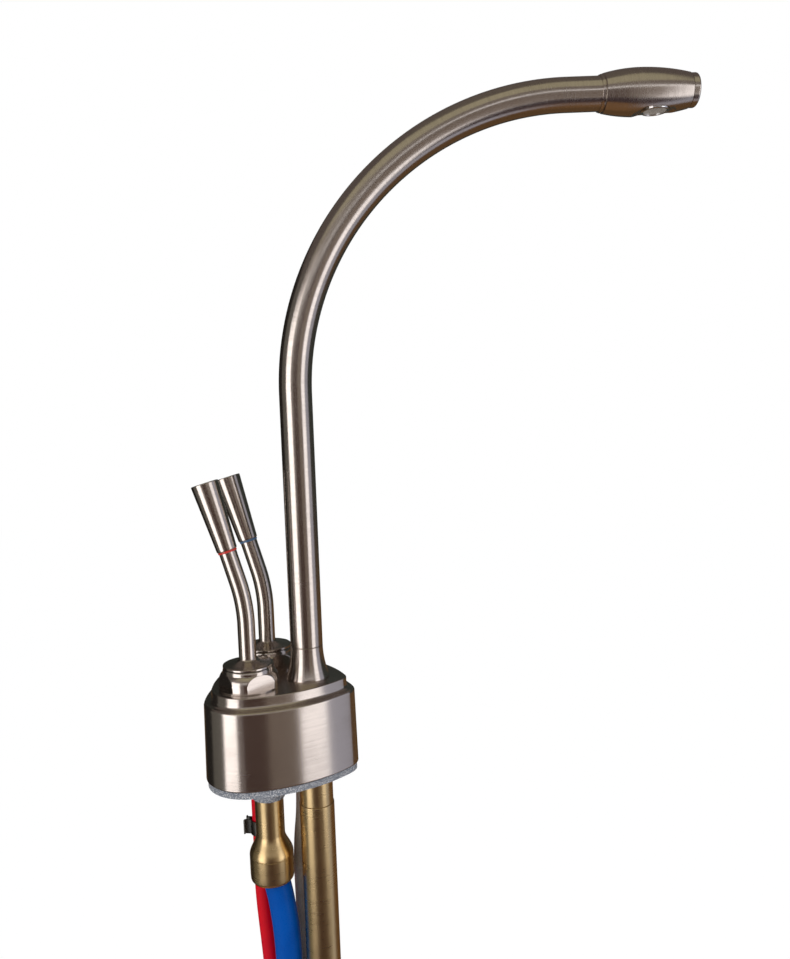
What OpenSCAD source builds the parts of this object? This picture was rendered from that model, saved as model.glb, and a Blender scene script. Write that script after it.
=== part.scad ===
// Two-lever boiling water tap with a gooseneck spout.
// Millimetres. Z is up, the sink's top face is z = 0, and the spout side is -Y.
// The origin is the centre of the round hole in the sink that the tap's shank and tubes pass through.

/* [Base] */
// Distance of each valve's axis from the middle plane
valve_x = 12; // [11.6:0.1:13.5]
// Distance of the valves behind the hole's centre
valve_y = 10; // [8:0.5:12]
// Distance of the spout's axis ahead of the hole's centre
spout_y = 9; // [8:0.5:11]
// Radius of the shell's two rear corners, round the valves
rear_corner_r = 17; // [16:0.5:20]
// Radius of the shell's front corner
front_corner_r = 8.4; // [7:0.2:10]
// Distance of the front corner's centre ahead of the spout
front_corner_ahead = 9.5; // [8:0.5:11]
// Radius of the shell's long bowed sides
side_bow_r = 53; // [48:1:70]
// Radius of the shell's bowed back
back_bow_r = 60; // [50:1:90]
// Height of the shell's lower edge above the sink
skirt_lift = 2.6; // [1:0.1:4]
// Height of the shell's wall
wall_h = 28.4; // [26:0.2:32]
// How much the wall leans in over its height
wall_draft = 0.5; // [0:0.1:1]
// Width of the shoulder between wall and raised deck
shoulder_w = 2.9; // [2.4:0.1:3.4]
// Height of the raised deck above the shoulder
deck_rise = 4.2; // [3:0.1:5]
// Radius of the cove between shoulder and raised deck
cove_r = 1.5; // [0.8:0.1:2]
// Thickness of the shell's wall
shell_t = 1.2; // [1:0.1:1.6]
// Thickness of the shell's deck
deck_t = 2.6; // [2:0.1:3.2]
// Thickness of the cast plate
plate_t = 5; // [4:0.5:6]
// Radius of the shell's fixing bosses
boss_r = 3; // [2.6:0.1:3.4]

/* [Valves] */
// Radius of a bonnet at its foot
bonnet_r = 10.9; // [10.4:0.1:11.4]
// Height of a bonnet above the deck
bonnet_h = 7.6; // [7:0.1:9]
// Distance of a bonnet's spanner flats from its axis
flat_from_axis = 9.3; // [9:0.1:10]
// Radius of a bonnet's flat top
bonnet_top_r = 8.6; // [8:0.1:8.9]
// Radius of a valve stem
stem_r = 3; // [2.5:0.1:3.4]
// Radius of a cartridge body
cartridge_r = 6.9; // [6.5:0.1:7.2]
// Thickness of a ceramic disc
disc_t = 2.2; // [1.8:0.1:2.4]

/* [Levers] */
// Radius of a lever cap
cap_r = 9.15; // [8.8:0.05:9.6]
// Height of a lever cap
cap_h = 2.6; // [2.4:0.1:4.2]
// Gap between a cap and its bonnet
cap_gap = 0.3; // [0.2:0.1:0.6]
// Radius of a lever rod
rod_r = 3.175; // [2.8:0.025:3.4]
// Height of the rod's upright part above the cap's foot
rod_upright = 14.9; // [14:0.1:20]
// Radius of the rod's bend, on its centre line
rod_bend_r = 56; // [40:1:80]
// Angle of the rod's bend
rod_bend_angle = 16.5; // [10:0.5:25]
// Length of the rod's straight part above the bend, up to the coloured ring
rod_tip = 11.2; // [8:0.1:14]
// Thickness of the coloured ring
ring_t = 0.8; // [0.6:0.1:1.2]
// Length of a grip
grip_l = 25.4; // [20:0.1:30]
// Radius of a grip at its lower end
grip_r1 = 3.7; // [3.6:0.05:4]
// Radius of a grip at its upper end
grip_r2 = 5; // [4.2:0.05:5.2]

/* [Spout] */
// Outside radius of the gooseneck tube
tube_r = 6; // [5.9:0.05:6.6]
// Wall of the gooseneck tube
tube_wall = 1; // [0.8:0.1:1.2]
// Height of the collar above the deck
collar_h = 12.1; // [11:0.1:14]
// Radius of the collar's foot
collar_foot_r = 8; // [7.6:0.1:8.4]
// Height above the sink at which the gooseneck starts to bend
bend_start = 140.5; // [120:0.1:170]
// Radius of the gooseneck's bend, on its centre line
bend_r = 104; // [90:0.5:120]
// Angle of the gooseneck's bend
bend_angle = 88.6; // [80:0.1:100]
// Straight length between the bend and the outlet head
spout_straight = 13; // [8:0.1:20]
// Angle that the spout is turned to at rest
spout_turn = 12; // [0:1:15]

/* [Outlet head] */
// Greatest radius of the barrel-shaped head
head_r = 8.3; // [8:0.1:9.8]
// Radius of the head's end at the spout
head_r1 = 6.7; // [6.7:0.05:7.6]
// Radius of the head's far end
head_r2 = 6.2; // [6:0.05:7.2]
// Length of the head
head_l = 32.1; // [31:0.1:38]
// Distance of the head's thickest place from the spout end
head_belly = 13.5; // [13:0.5:18]
// Distance of the aerator from the spout end of the head
aerator_at = 19.6; // [16:0.1:20]
// Radius of the aerator's bright housing
aerator_r = 5.1; // [4.9:0.05:5.3]
// Radius of the recess round the aerator, at its flat roof
recess_r = 6.8; // [6.4:0.1:7.8]
// Length of the end plug
plug_l = 2.5; // [2:0.1:3]

/* [Under the sink] */
// Distance of the shank's axis ahead of the hole's centre
shank_y = 10.3; // [9.6:0.1:10.6]
// Radius of the brass shank
shank_r = 6.6; // [6.4:0.05:6.7]
// Distance that the shank reaches below the sink's top face
shank_l = 115; // [100:1:116]
// Radius of the short sleeve above the shank
sleeve_r = 6.3; // [6.1:0.05:6.4]
// Length of the sleeve below the sink's top face
sleeve_l = 13.5; // [12:0.1:20]
// Distance of the bell fitting behind the hole's centre
bell_y = 8.5; // [8.2:0.1:9]
// Radius of the bell fitting's neck
bell_neck_r = 5.5; // [5.2:0.1:5.6]
// Radius of the bell
bell_r = 8.4; // [8:0.1:8.6]
// Length of the bell fitting below the sink's top face
bell_l = 45; // [42:0.2:51]
// Length of the bell's round part
bell_cup = 10; // [9:0.1:11]
// Length of the cone between neck and bell
bell_cone = 8.4; // [8:0.1:11]
// Length of the plate's hub round the neck
hub_l = 12.2; // [10:0.1:18]

/* [Hidden] */
$fn = 96;

// Clearances and small common sizes
slip = 0.05;
press = 0.02;
seat = 0.1;
over = 1;
bend_slim = 0.01;
bend_overlap = 0.5;
arc_steps = 12;
edge = 0.4;
groove_side = 0.1;

// Heights of the base
wall_top = skirt_lift + wall_h;
deck_z = wall_top + deck_rise;
deck_under = deck_z - deck_t;
shell_in = shell_t + wall_draft / 2;
deck_in = wall_draft + shoulder_w;
plate_in = shell_in + seat;
rim_in = 0.6;
rim_h = skirt_lift - 0.3;

// Heights of the manifold and of what stands in it
manifold_h = 16;
manifold_top = plate_t + manifold_h;
bore_floor = plate_t + 6;
tower_r = cartridge_r + 2.3;
passage_z = plate_t + 3;
passage_r = 1.6;
port_r = 2.5;
socket_floor = plate_t + 7.5;
seal_t = 1.2;
flange_t = 2;
flange_r = cartridge_r + 1.6;
flange_z = manifold_top + flange_t;
fixed_z = bore_floor + seal_t;
turning_z = fixed_z + disc_t + groove_side;
foot_z = turning_z + disc_t + slip;
foot_t = 1.1;
disc_r = cartridge_r - 0.9;
cavity_r = disc_r + 0.1;
cavity_top = foot_z + foot_t + groove_side;
neck_top = deck_z - 3;
neck_r = stem_r + 2;

// Heights of the bonnets and levers
bonnet_top = deck_z + bonnet_h;
bonnet_skirt_r = flange_r + 0.4;
bonnet_bore_r = neck_r + 0.6;
bonnet_roof = 2;
bonnet_foot = 0.6;
ledge_below_top = 1.5;
cap_z = bonnet_top + cap_gap;
cap_top = cap_z + cap_h;
stem_top = cap_z + 1.25;
grub_r = 0.45;
grub_z = cap_z + 0.62;
grub_l = 3.3;
bend_z = cap_z + rod_upright;
ring_r = rod_r + 0.28;
ring_gap = 0.05;
grip_z = rod_tip + ring_t + ring_gap;
rod_in_grip = 12;
grip_edge = 0.35;

// Spout
tube_in_r = tube_r - tube_wall;
collar_top = deck_z + collar_h;
collar_spigot_r = tube_r + 0.05;
collar_bore_r = tube_in_r - 0.15;
collar_lower = socket_floor + 0.5;
clip_room_r = collar_bore_r + 0.8;
clip_shoulder = collar_lower + 7;
tail_r = collar_bore_r - slip;
tail_low = collar_lower + 2;
tail_up = collar_top + 12;
tail_in_tube_r = tube_in_r - press;
tail_bore_r = 3;
clip_t = 0.9;
clip_z = clip_shoulder - 0.2 - clip_t;
clip_groove_r = tail_r - 0.8;
seal_wire_r = 0.55;
seal_groove_r = tail_r - 2 * seal_wire_r;
seal_heights = [clip_shoulder + 7, clip_shoulder + 12];
joint_gap = 0.15;
tube_low = collar_top + joint_gap;

// Outlet head, measured along its axis from its spout end
lip_l = 1.2;
head_socket = 8;
channel_r = 4;
plug_thread = 5.5;
plug_thread_r = 5;
plug_seam = 0.2;
plug_r = head_r2 - 0.25;
plug_edge = 0.7;
recess_roof = 6.5;
recess_flare = 1.3;
aerator_top = 3;
aerator_low = 7.1;
aerator_in_r = aerator_r - 1;
insert_low = aerator_low - 0.5;
insert_t = 0.7;
washer_t = 0.6;
washer_in_r = 3.2;
head_seal_at = 5;
head_seal_wire = 0.5;
spray_hole_r = 0.32;

// Under the sink
nipple_r = 5;
nipple_l = 10;
shank_bore_r = nipple_r + slip;
flow_r = 3;
bell_wall = 1.1;
hub_r1 = bell_neck_r + 1.9;
hub_r2 = bell_neck_r + 0.6;
barb_r = 2.2;
barb_body_r = 2.7;
barb_rise = plate_t + 4;
barb_bore_r = 1.3;
barb_l = 34;
vent_barb_l = 14;
hot_barb_at = [valve_x - 2.5, valve_y + 5.6];
vent_barb_at = [valve_x - 4, -3.3];
screw_r = 1.45;
screw_head_r = 2.6;
screw_head_t = 1.6;
screw_l = 9.5;
manifold_screw_at = [valve_x - 4.1, valve_y - 6.5];
shell_screw_at = [[-17, -5], [17, -5], [0, 21.5]];

// Tubes. Routes are the centre lines, from the fitting down.
silicone_r = 3.175;
cold_tube_r = 5.1;
tube_sides = 12;
hot_route = [
    [9.5, 15.6, -1], [9.5, 15.6, -12], [9.6, 15.6, -24], [9.6, 15.6, -36], [9.7, 15.9, -48],
    [9.9, 15.7, -60], [10.1, 15, -72], [10.4, 14.3, -84], [10.8, 13.7, -98], [11.3, 13.3, -114],
    [11.8, 13.2, -132], [12.2, 13.4, -150], [12.4, 13.8, -168], [12.4, 14.3, -186],
    [12.2, 14.9, -204], [11.9, 15.5, -222], [11.6, 16, -240], [11.4, 16.3, -258],
    [11.3, 16.5, -276], [11.3, 16.5, -294], [11.3, 16.4, -312]
];
cold_route = [
    [0, 8.2, -36], [0, 7.7, -41], [0, 6.8, -46.5], [0, 5.7, -52], [0, 4.7, -59], [0, 4, -66], [0, 3.6, -74],
    [-0.1, 3.4, -85], [-0.3, 3.4, -98], [-0.7, 3.8, -114], [-1.2, 4.7, -132], [-1.8, 6, -152],
    [-2.3, 7.4, -172], [-2.8, 8.6, -192], [-3.2, 9.6, -212], [-3.5, 10.3, -232],
    [-3.7, 10.8, -252], [-3.8, 11.1, -272], [-3.9, 11.3, -292], [-3.9, 11.4, -312], [-3.9, 11.4, -334]
];
vent_route = [
    [8, -3.3, -1], [8, -3.3, -12], [8.1, -2.8, -22], [8.5, -1.6, -32], [8.8, -0.9, -42],
    [9, -0.8, -53], [9.1, -0.9, -65], [9.3, -0.8, -80], [9.7, -0.6, -97], [10.2, -0.5, -114],
    [10.6, -0.6, -132], [11, -0.9, -150], [11.3, -1.5, -168], [11.4, -2.2, -186],
    [11.3, -2.8, -204], [11.1, -3.4, -222], [10.9, -3.8, -240], [10.7, -4, -258],
    [10.6, -4.1, -276], [10.6, -4.1, -294], [10.6, -4, -312]
];
hose_clip_at = [9.6, 15.6, -32.1];
hot_end_clip_at = [11.3, 16.45, -306];
vent_end_clip_at = [10.6, -4.05, -306];
clip_in_r = silicone_r + 0.08;
clip_wall = 0.6;
clip_h = 5.8;
clip_tab = 3.2;
nut_at = [-3.9, 11.4];
nut_r = 8.6;
nut_h = 11;
nut_top = -314;
nut_bore_r = cold_tube_r + 0.1;
sleeve_ring_t = 3.5;
sleeve_ring_r = 6.3;

// Plan of the base: corner arcs joined by flatter arcs, each touching its neighbours.
function direction_of(a, b) = atan2(b[1] - a[1], b[0] - a[0]);
function after(from, to) = to < from ? after(from, to + 360) : to;
function bow_centre(c1, r1, c2, r2, r) =
    let(v = c2 - c1)
    let(l = norm(v))
    let(a = (l * l + pow(r - r1, 2) - pow(r - r2, 2)) / (2 * l))
    let(h = sqrt(pow(r - r1, 2) - a * a))
    c1 + v * a / l + [-v[1], v[0]] * h / l;
function arc_points(c, r, from, to, steps) =
    [for (i = [0:steps - 1]) c + r * [cos(from + (to - from) * i / steps), sin(from + (to - from) * i / steps)]];
front_c = [0, -spout_y - front_corner_ahead];
right_c = [valve_x, valve_y];
left_c = [-valve_x, valve_y];
right_bow_c = bow_centre(front_c, front_corner_r, right_c, rear_corner_r, side_bow_r);
back_bow_c = bow_centre(right_c, rear_corner_r, left_c, rear_corner_r, back_bow_r);
left_bow_c = [-right_bow_c[0], right_bow_c[1]];
a_front_right = direction_of(right_bow_c, front_c);
a_right_bow = after(a_front_right, direction_of(right_bow_c, right_c));
a_right_back = after(a_right_bow, direction_of(back_bow_c, right_c));
a_back_left = after(a_right_back, direction_of(back_bow_c, left_c));
a_left_bow = after(a_back_left, direction_of(left_bow_c, left_c));
a_left_front = after(a_left_bow, direction_of(left_bow_c, front_c));
function plan(inset) = concat(
    arc_points(right_bow_c, side_bow_r - inset, a_front_right, a_right_bow, arc_steps),
    arc_points(right_c, rear_corner_r - inset, a_right_bow, a_right_back, arc_steps),
    arc_points(back_bow_c, back_bow_r - inset, a_right_back, a_back_left, arc_steps),
    arc_points(left_c, rear_corner_r - inset, a_back_left, a_left_bow, arc_steps),
    arc_points(left_bow_c, side_bow_r - inset, a_left_bow, a_left_front, arc_steps),
    arc_points(front_c, front_corner_r - inset, a_left_front, a_front_right + 360, arc_steps)
);

// Shell profile: [inset from the plan, height], up the outside.
cove_steps = 4;
shell_profile = concat(
    [[edge, skirt_lift], [0, skirt_lift + edge]],
    [[wall_draft, wall_top - edge], [wall_draft + 0.12, wall_top - 0.12], [wall_draft + edge, wall_top]],
    [for (i = [0:cove_steps]) let(a = 90 * i / cove_steps)
        [deck_in - cove_r + cove_r * sin(a), wall_top + cove_r * (1 - cos(a))]],
    [[deck_in, deck_z - edge], [deck_in + 0.12, deck_z - 0.12], [deck_in + edge, deck_z]]
);

// A closed solid through rings of points that all have the same number of points.
module ringed_solid(rings) {
    n = len(rings[0]);
    m = len(rings);
    points = [for (ring = rings) for (p = ring) p];
    walls = [for (j = [0:m - 2]) for (i = [0:n - 1]) let(k = (i + 1) % n)
        each [[j * n + i, (j + 1) * n + i, (j + 1) * n + k], [j * n + i, (j + 1) * n + k, j * n + k]]];
    low = [[for (i = [0:n - 1]) i]];
    high = [[for (i = [n - 1:-1:0]) (m - 1) * n + i]];
    polyhedron(points, concat(walls, low, high));
}

module shell_outside() {
    ringed_solid([for (s = shell_profile) [for (p = plan(s[0])) [p[0], p[1], s[1]]]]);
}

module plan_slab(inset, z0, z1) {
    translate([0, 0, z0]) linear_extrude(z1 - z0) polygon(plan(inset));
}

// A round tube along a route, as one closed solid.
function unit(v) = v / norm(v);
function run_at(route, i) =
    unit(route[min(i + 1, len(route) - 1)] - route[max(i - 1, 0)]);
module swept_tube(route, r) {
    ringed_solid([for (i = [0:len(route) - 1])
        let(t = run_at(route, i))
        let(u = unit([1, 0, 0] - t * t[0]))
        let(v = cross(t, u))
        [for (k = [0:tube_sides - 1]) let(a = 360 * k / tube_sides) route[i] + r * (cos(a) * u + sin(a) * v)]]);
}

module post(x, y, z0, z1, r) {
    translate([x, y, z0]) cylinder(h = z1 - z0, r = r);
}

module hollow_post(z0, z1, r_out, r_in) {
    difference() {
        post(0, 0, z0, z1, r_out);
        post(0, 0, z0 - over, z1 + over, r_in);
    }
}

// A bend is a hair slimmer than its straight ends, which reach into it.
module bend(angle, bend_radius, r) {
    rotate_extrude(angle = angle) translate([bend_radius, 0]) circle(r = r - bend_slim);
}

module at_valve(side) {
    translate([side * valve_x, valve_y, 0]) children();
}

module at_spout() {
    translate([0, -spout_y, 0]) rotate([0, 0, spout_turn]) children();
}

// Base
module base_plate() color("slategray") {
    difference() {
        union() {
            plan_slab(plate_in, 0, plate_t);
            plan_slab(rim_in, 0, rim_h);
            translate([0, bell_y, -hub_l]) cylinder(h = hub_l + over, r1 = hub_r2, r2 = hub_r1);
        }
        post(0, bell_y, -hub_l - over, plate_t + over, bell_neck_r + slip);
        post(0, -shank_y, -over, plate_t + over, sleeve_r + slip);
        for (p = [hot_barb_at, vent_barb_at]) post(p[0], p[1], -over, plate_t + over, silicone_r + 0.3);
        for (side = [-1, 1]) screw_hole(side * manifold_screw_at[0], manifold_screw_at[1]);
        for (p = shell_screw_at) screw_hole(p[0], p[1]);
    }
}

module screw_hole(x, y) {
    post(x, y, -over, plate_t + over, screw_r + seat);
    post(x, y, -over, screw_head_t + seat, screw_head_r + seat);
}

module screw(x, y) {
    post(x, y, seat, screw_head_t + seat, screw_head_r);
    post(x, y, screw_head_t, screw_l, screw_r);
}

module manifold_screws() color("silver") {
    for (side = [-1, 1]) screw(side * manifold_screw_at[0], manifold_screw_at[1]);
}

module shell_screws() color("silver") {
    for (p = shell_screw_at) screw(p[0], p[1]);
}

module body_shell() color("rosybrown") {
    difference() {
        union() {
            difference() {
                shell_outside();
                plan_slab(shell_in, 0, wall_top - shell_t);
                plan_slab(deck_in + shell_t, 0, deck_under);
            }
            for (p = shell_screw_at) post(p[0], p[1], plate_t, deck_under + edge, boss_r);
        }
        for (side = [-1, 1]) post(side * valve_x, valve_y, 0, deck_z + over, bonnet_skirt_r + seat);
        post(0, -spout_y, 0, deck_z + over, collar_spigot_r + seat);
        for (p = shell_screw_at) post(p[0], p[1], plate_t - over, screw_l + over, screw_r + press);
    }
}

module valve_manifold() color("darkgoldenrod") {
    body_w = 2 * (manifold_screw_at[0] + screw_r + 1.2);
    difference() {
        union() {
            for (side = [-1, 1]) post(side * valve_x, valve_y, plate_t, manifold_top, tower_r);
            post(0, -spout_y, plate_t, manifold_top, collar_spigot_r + 2);
            translate([-body_w / 2, -spout_y, plate_t]) cube([body_w, spout_y + valve_y, manifold_h - 4]);
            translate([-valve_x, valve_y - cartridge_r + 1, plate_t])
                cube([2 * valve_x, 2 * cartridge_r - 2, manifold_h - 3]);
            post(vent_barb_at[0], vent_barb_at[1], plate_t, plate_t + 6, barb_body_r + 1.6);
        }
        for (side = [-1, 1]) at_valve(side) {
            post(0, 0, bore_floor, manifold_top + over, cartridge_r + slip);
            post(0, 0, passage_z, bore_floor + over, port_r);
        }
        translate([-valve_x, valve_y, passage_z]) rotate([0, 90, 0]) cylinder(h = 2 * valve_x, r = passage_r);
        post(0, -spout_y, socket_floor, manifold_top + over, collar_spigot_r + slip);
        post(0, bell_y, plate_t - over, passage_z, flow_r);
        post(0, -shank_y, plate_t - over, plate_t + 4.5, nipple_r + slip);
        for (p = [hot_barb_at, vent_barb_at]) post(p[0], p[1], plate_t - over, barb_rise + press, barb_body_r + press);
        for (side = [-1, 1])
            post(side * manifold_screw_at[0], manifold_screw_at[1], plate_t - over, screw_l + 0.5, screw_r + press);
    }
}

// Valves. side is -1 for the hot valve and 1 for the cold one.
module cartridge(side) {
    at_valve(side) difference() {
        union() {
            post(0, 0, fixed_z, manifold_top + over, cartridge_r);
            post(0, 0, manifold_top, flange_z, flange_r);
            post(0, 0, flange_z - over, neck_top, neck_r);
        }
        post(0, 0, fixed_z - over, cavity_top, cavity_r);
        post(0, 0, cavity_top - over, neck_top + over, stem_r + slip);
    }
}

module cartridge_seal(side) {
    at_valve(side) hollow_post(bore_floor, bore_floor + seal_t, cartridge_r - slip, port_r);
}

module ceramic_disc(side, z) {
    at_valve(side) difference() {
        post(0, 0, z, z + disc_t, disc_r);
        translate([disc_r / 2, 0, z - over]) cylinder(h = disc_t + 2 * over, r = passage_r);
    }
}

module stem(side) {
    at_valve(side) {
        post(0, 0, foot_z, foot_z + foot_t, disc_r);
        post(0, 0, foot_z, stem_top, stem_r);
    }
}

module bonnet(side) {
    mid_z = (bonnet_top - ledge_below_top + deck_z + bonnet_foot) / 2;
    at_valve(side) difference() {
        rotate_extrude() polygon([
            [bonnet_bore_r, flange_z], [bonnet_skirt_r, flange_z], [bonnet_skirt_r, deck_z],
            [bonnet_r, deck_z], [bonnet_r, deck_z + bonnet_foot], [bonnet_r - 0.25, deck_z + bonnet_foot],
            [bonnet_r - 0.5, deck_z + bonnet_foot + 1.2], [bonnet_r - 0.85, mid_z], [bonnet_r - 1.25, mid_z + 1.4],
            [bonnet_top_r + 0.7, bonnet_top - ledge_below_top], [bonnet_top_r + 0.5, bonnet_top - ledge_below_top],
            [bonnet_top_r + 0.35, bonnet_top - 0.9], [bonnet_top_r, bonnet_top],
            [stem_r + slip, bonnet_top], [stem_r + slip, bonnet_top - bonnet_roof],
            [bonnet_bore_r, bonnet_top - bonnet_roof]
        ]);
        for (a = [45:90:315]) rotate([0, 0, a])
            translate([flat_from_axis, -bonnet_r, deck_z + bonnet_foot]) cube([bonnet_r, 2 * bonnet_r, bonnet_h]);
    }
}

// Levers
module lever_cap(side) {
    at_valve(side) difference() {
        rotate_extrude() polygon([
            [0, cap_z], [cap_r - 0.15, cap_z], [cap_r, cap_z + 0.15], [cap_r, cap_z + 0.55],
            [cap_r - 0.2, cap_z + 0.85], [rod_r + 0.9, cap_top - 0.5], [rod_r + 0.45, cap_top - 0.15],
            [rod_r + 0.35, cap_top], [0, cap_top]
        ]);
        post(0, 0, cap_z - over, stem_top, stem_r + press);
        post(0, 0, stem_top - press, cap_top + over, rod_r + press);
        translate([0, stem_r, grub_z]) rotate([-90, 0, 0]) cylinder(h = cap_r, r = grub_r + press);
    }
}

module grub_screw(side) {
    at_valve(side) translate([0, stem_r + press, grub_z]) rotate([-90, 0, 0]) cylinder(h = grub_l, r = grub_r);
}

// The bend's own frame: its axis is Z and it starts on +X.
module at_rod_bend(side) {
    at_valve(side) translate([0, rod_bend_r, bend_z]) rotate([90, 0, -90]) children();
}

// Puts what is drawn along +Z at the end of the rod's bend.
module at_rod_tip(side) {
    at_rod_bend(side) rotate([0, 0, rod_bend_angle]) translate([rod_bend_r, 0, 0]) rotate([-90, 0, 0]) children();
}

module lever_rod(side) {
    at_valve(side) post(0, 0, stem_top + press, bend_z + bend_overlap, rod_r);
    at_rod_bend(side) bend(rod_bend_angle, rod_bend_r, rod_r);
    at_rod_tip(side) post(0, 0, -bend_overlap, grip_z + rod_in_grip - press, rod_r);
}

module marking_ring(side) {
    at_rod_tip(side) translate([0, 0, rod_tip]) hollow_post(0, ring_t, ring_r, rod_r + press);
}

module grip(side) {
    at_rod_tip(side) translate([0, 0, grip_z]) difference() {
        rotate_extrude() polygon([
            [0, 0], [grip_r1 - 0.3, 0], [grip_r1, 0.3], [grip_r2, grip_l - grip_edge],
            [grip_r2 - grip_edge, grip_l], [0, grip_l]
        ]);
        translate([0, 0, -over]) cylinder(h = rod_in_grip + over, r = rod_r + press);
    }
}

// Spout
module spout_collar() color("rosybrown") {
    flare_h = collar_h - 0.5;
    flare = collar_foot_r - tube_r;
    flare_r = (flare_h * flare_h + flare * flare) / (2 * flare);
    steps = 10;
    translate([0, -spout_y, 0]) rotate_extrude() polygon(concat(
        [[clip_room_r, collar_lower], [collar_spigot_r, collar_lower], [collar_spigot_r, deck_z]],
        [[collar_foot_r, deck_z]],
        [for (i = [0:steps]) let(z = 0.5 + flare_h * i / steps)
            [tube_r + flare_r - sqrt(flare_r * flare_r - pow(collar_h - z, 2)), deck_z + z]],
        [[collar_bore_r, collar_top], [collar_bore_r, clip_shoulder], [clip_room_r, clip_shoulder]]
    ));
}

module spout_tail() color("darkgoldenrod") {
    at_spout() difference() {
        union() {
            post(0, 0, tail_low, collar_top + joint_gap, tail_r);
            post(0, 0, collar_top + joint_gap, tail_up, tail_in_tube_r);
        }
        post(0, 0, tail_low - over, tail_up + over, tail_bore_r);
        hollow_post(clip_z - slip, clip_z + clip_t + slip, tail_r + over, clip_groove_r);
        for (z = seal_heights) hollow_post(z - seal_wire_r, z + seal_wire_r, tail_r + over, seal_groove_r);
    }
}

module o_ring(r, wire) {
    rotate_extrude() translate([r, 0]) circle(r = wire);
}

module spout_seals() color("black") {
    at_spout() for (z = seal_heights) translate([0, 0, z]) o_ring(seal_groove_r + seal_wire_r, seal_wire_r - press);
}

module spout_clip() color("gray") {
    at_spout() difference() {
        translate([0, 0, clip_z]) hollow_post(0, clip_t, clip_room_r - 0.2, clip_groove_r + press);
        translate([0, -1, clip_z - over]) cube([2 * clip_room_r, 2, clip_t + 2 * over]);
    }
}

// The gooseneck's bend in its own frame: its axis is Z and it starts on +X.
module at_bend() {
    at_spout() translate([0, -bend_r, bend_start]) rotate([90, 0, 90]) children();
}

// Puts what is drawn along +Z at the end of the gooseneck's bend.
module at_bend_end() {
    at_bend() rotate([0, 0, bend_angle]) translate([bend_r, 0, 0]) rotate([-90, 0, 0]) children();
}

// The outlet head's frame: +Z runs along the head, away from the spout, and +Y is up.
module at_head() {
    at_bend_end() translate([0, 0, spout_straight]) rotate([0, 0, -90]) children();
}

module gooseneck(r, past_ends) {
    at_spout() post(0, 0, tube_low - past_ends, bend_start + bend_overlap, r);
    at_bend() bend(bend_angle, bend_r, r);
    at_bend_end() post(0, 0, -bend_overlap, spout_straight + head_socket + past_ends, r);
}

module spout_tube() color("rosybrown") {
    difference() {
        gooseneck(tube_r, 0);
        gooseneck(tube_in_r, over);
    }
}

// Points of a head's outline between two places: an arc whose greatest radius is at the belly.
function barrel_r(s, end_r, reach) =
    let(drop = head_r - end_r)
    let(r = (reach * reach + drop * drop) / (2 * drop))
    head_r - r + sqrt(r * r - pow(s - head_belly, 2));
module outlet_head() color("rosybrown") {
    steps = 8;
    reach2 = head_l - head_belly;
    recess_h = head_r - recess_roof + over;
    at_head() difference() {
        rotate_extrude() polygon(concat(
            [[tube_r + press, -lip_l], [tube_r + 0.1, -lip_l], [tube_r + 0.5, -0.35], [tube_r + 0.2, 0]],
            [for (i = [0:steps]) let(s = 0.35 + (head_belly - 0.35) * i / steps) [barrel_r(s, head_r1, head_belly), s]],
            [for (i = [1:steps]) let(s = head_belly + reach2 * i / steps) [barrel_r(s, head_r2, reach2), s]],
            [[plug_thread_r + slip, head_l], [plug_thread_r + slip, head_l - plug_thread - 0.2]],
            [[channel_r, head_l - plug_thread - 0.2], [channel_r, head_socket + press]],
            [[tube_r + press, head_socket + press]]
        ));
        translate([0, 0, head_seal_at]) o_ring(tube_r + head_seal_wire, head_seal_wire + press);
        translate([0, 0, aerator_at]) rotate([90, 0, 0]) {
            cylinder(h = recess_roof + over, r = aerator_r + press);
            translate([0, 0, recess_roof])
                cylinder(h = recess_h, r1 = recess_r, r2 = recess_r + recess_flare * recess_h);
        }
    }
}

module head_seal() color("black") {
    at_head() translate([0, 0, head_seal_at]) o_ring(tube_r + head_seal_wire, head_seal_wire - press);
}

module outlet_plug() color("rosybrown") {
    at_head() translate([0, 0, head_l]) rotate_extrude() polygon([
        [0, -plug_thread], [plug_thread_r, -plug_thread], [plug_thread_r, plug_seam], [plug_r, plug_seam],
        [plug_r, plug_seam + plug_l - plug_edge], [plug_r - 0.2, plug_seam + plug_l - 0.25],
        [plug_r - plug_edge, plug_seam + plug_l], [0, plug_seam + plug_l]
    ]);
}

// The aerator's own axis points down, along the head's local -Y.
module at_aerator() {
    at_head() translate([0, 0, aerator_at]) rotate([90, 0, 0]) children();
}

module aerator_housing() color("silver") {
    at_aerator() rotate_extrude() polygon([
        [aerator_in_r - 0.5, aerator_top], [aerator_r, aerator_top], [aerator_r, aerator_low - 0.3],
        [aerator_r - 0.3, aerator_low], [aerator_in_r, aerator_low], [aerator_in_r, insert_low - insert_t],
        [aerator_in_r - 0.5, insert_low - insert_t]
    ]);
}

module aerator_insert() color("lightgray") {
    at_aerator() difference() {
        translate([0, 0, insert_low - insert_t + press]) cylinder(h = insert_t, r = aerator_in_r - press);
        for (ring = [0:2]) for (k = [0:max(1, 6 * ring) - 1])
            rotate([0, 0, 60 * k / max(1, ring)]) translate([1.2 * ring, 0, aerator_top])
                cylinder(h = aerator_low, r = spray_hole_r);
    }
}

module aerator_washer() color("black") {
    at_aerator() hollow_post(aerator_top - washer_t, aerator_top, aerator_r - slip, washer_in_r);
}

// Under the sink
module shank_sleeve() color("goldenrod") {
    translate([0, -shank_y, 0]) difference() {
        union() {
            post(0, 0, -sleeve_l, plate_t, sleeve_r);
            post(0, 0, plate_t - over, plate_t + 4, nipple_r);
            post(0, 0, -sleeve_l - nipple_l, -sleeve_l + over, nipple_r);
        }
        post(0, 0, -sleeve_l - nipple_l - over, plate_t + 5, flow_r);
    }
}

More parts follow.
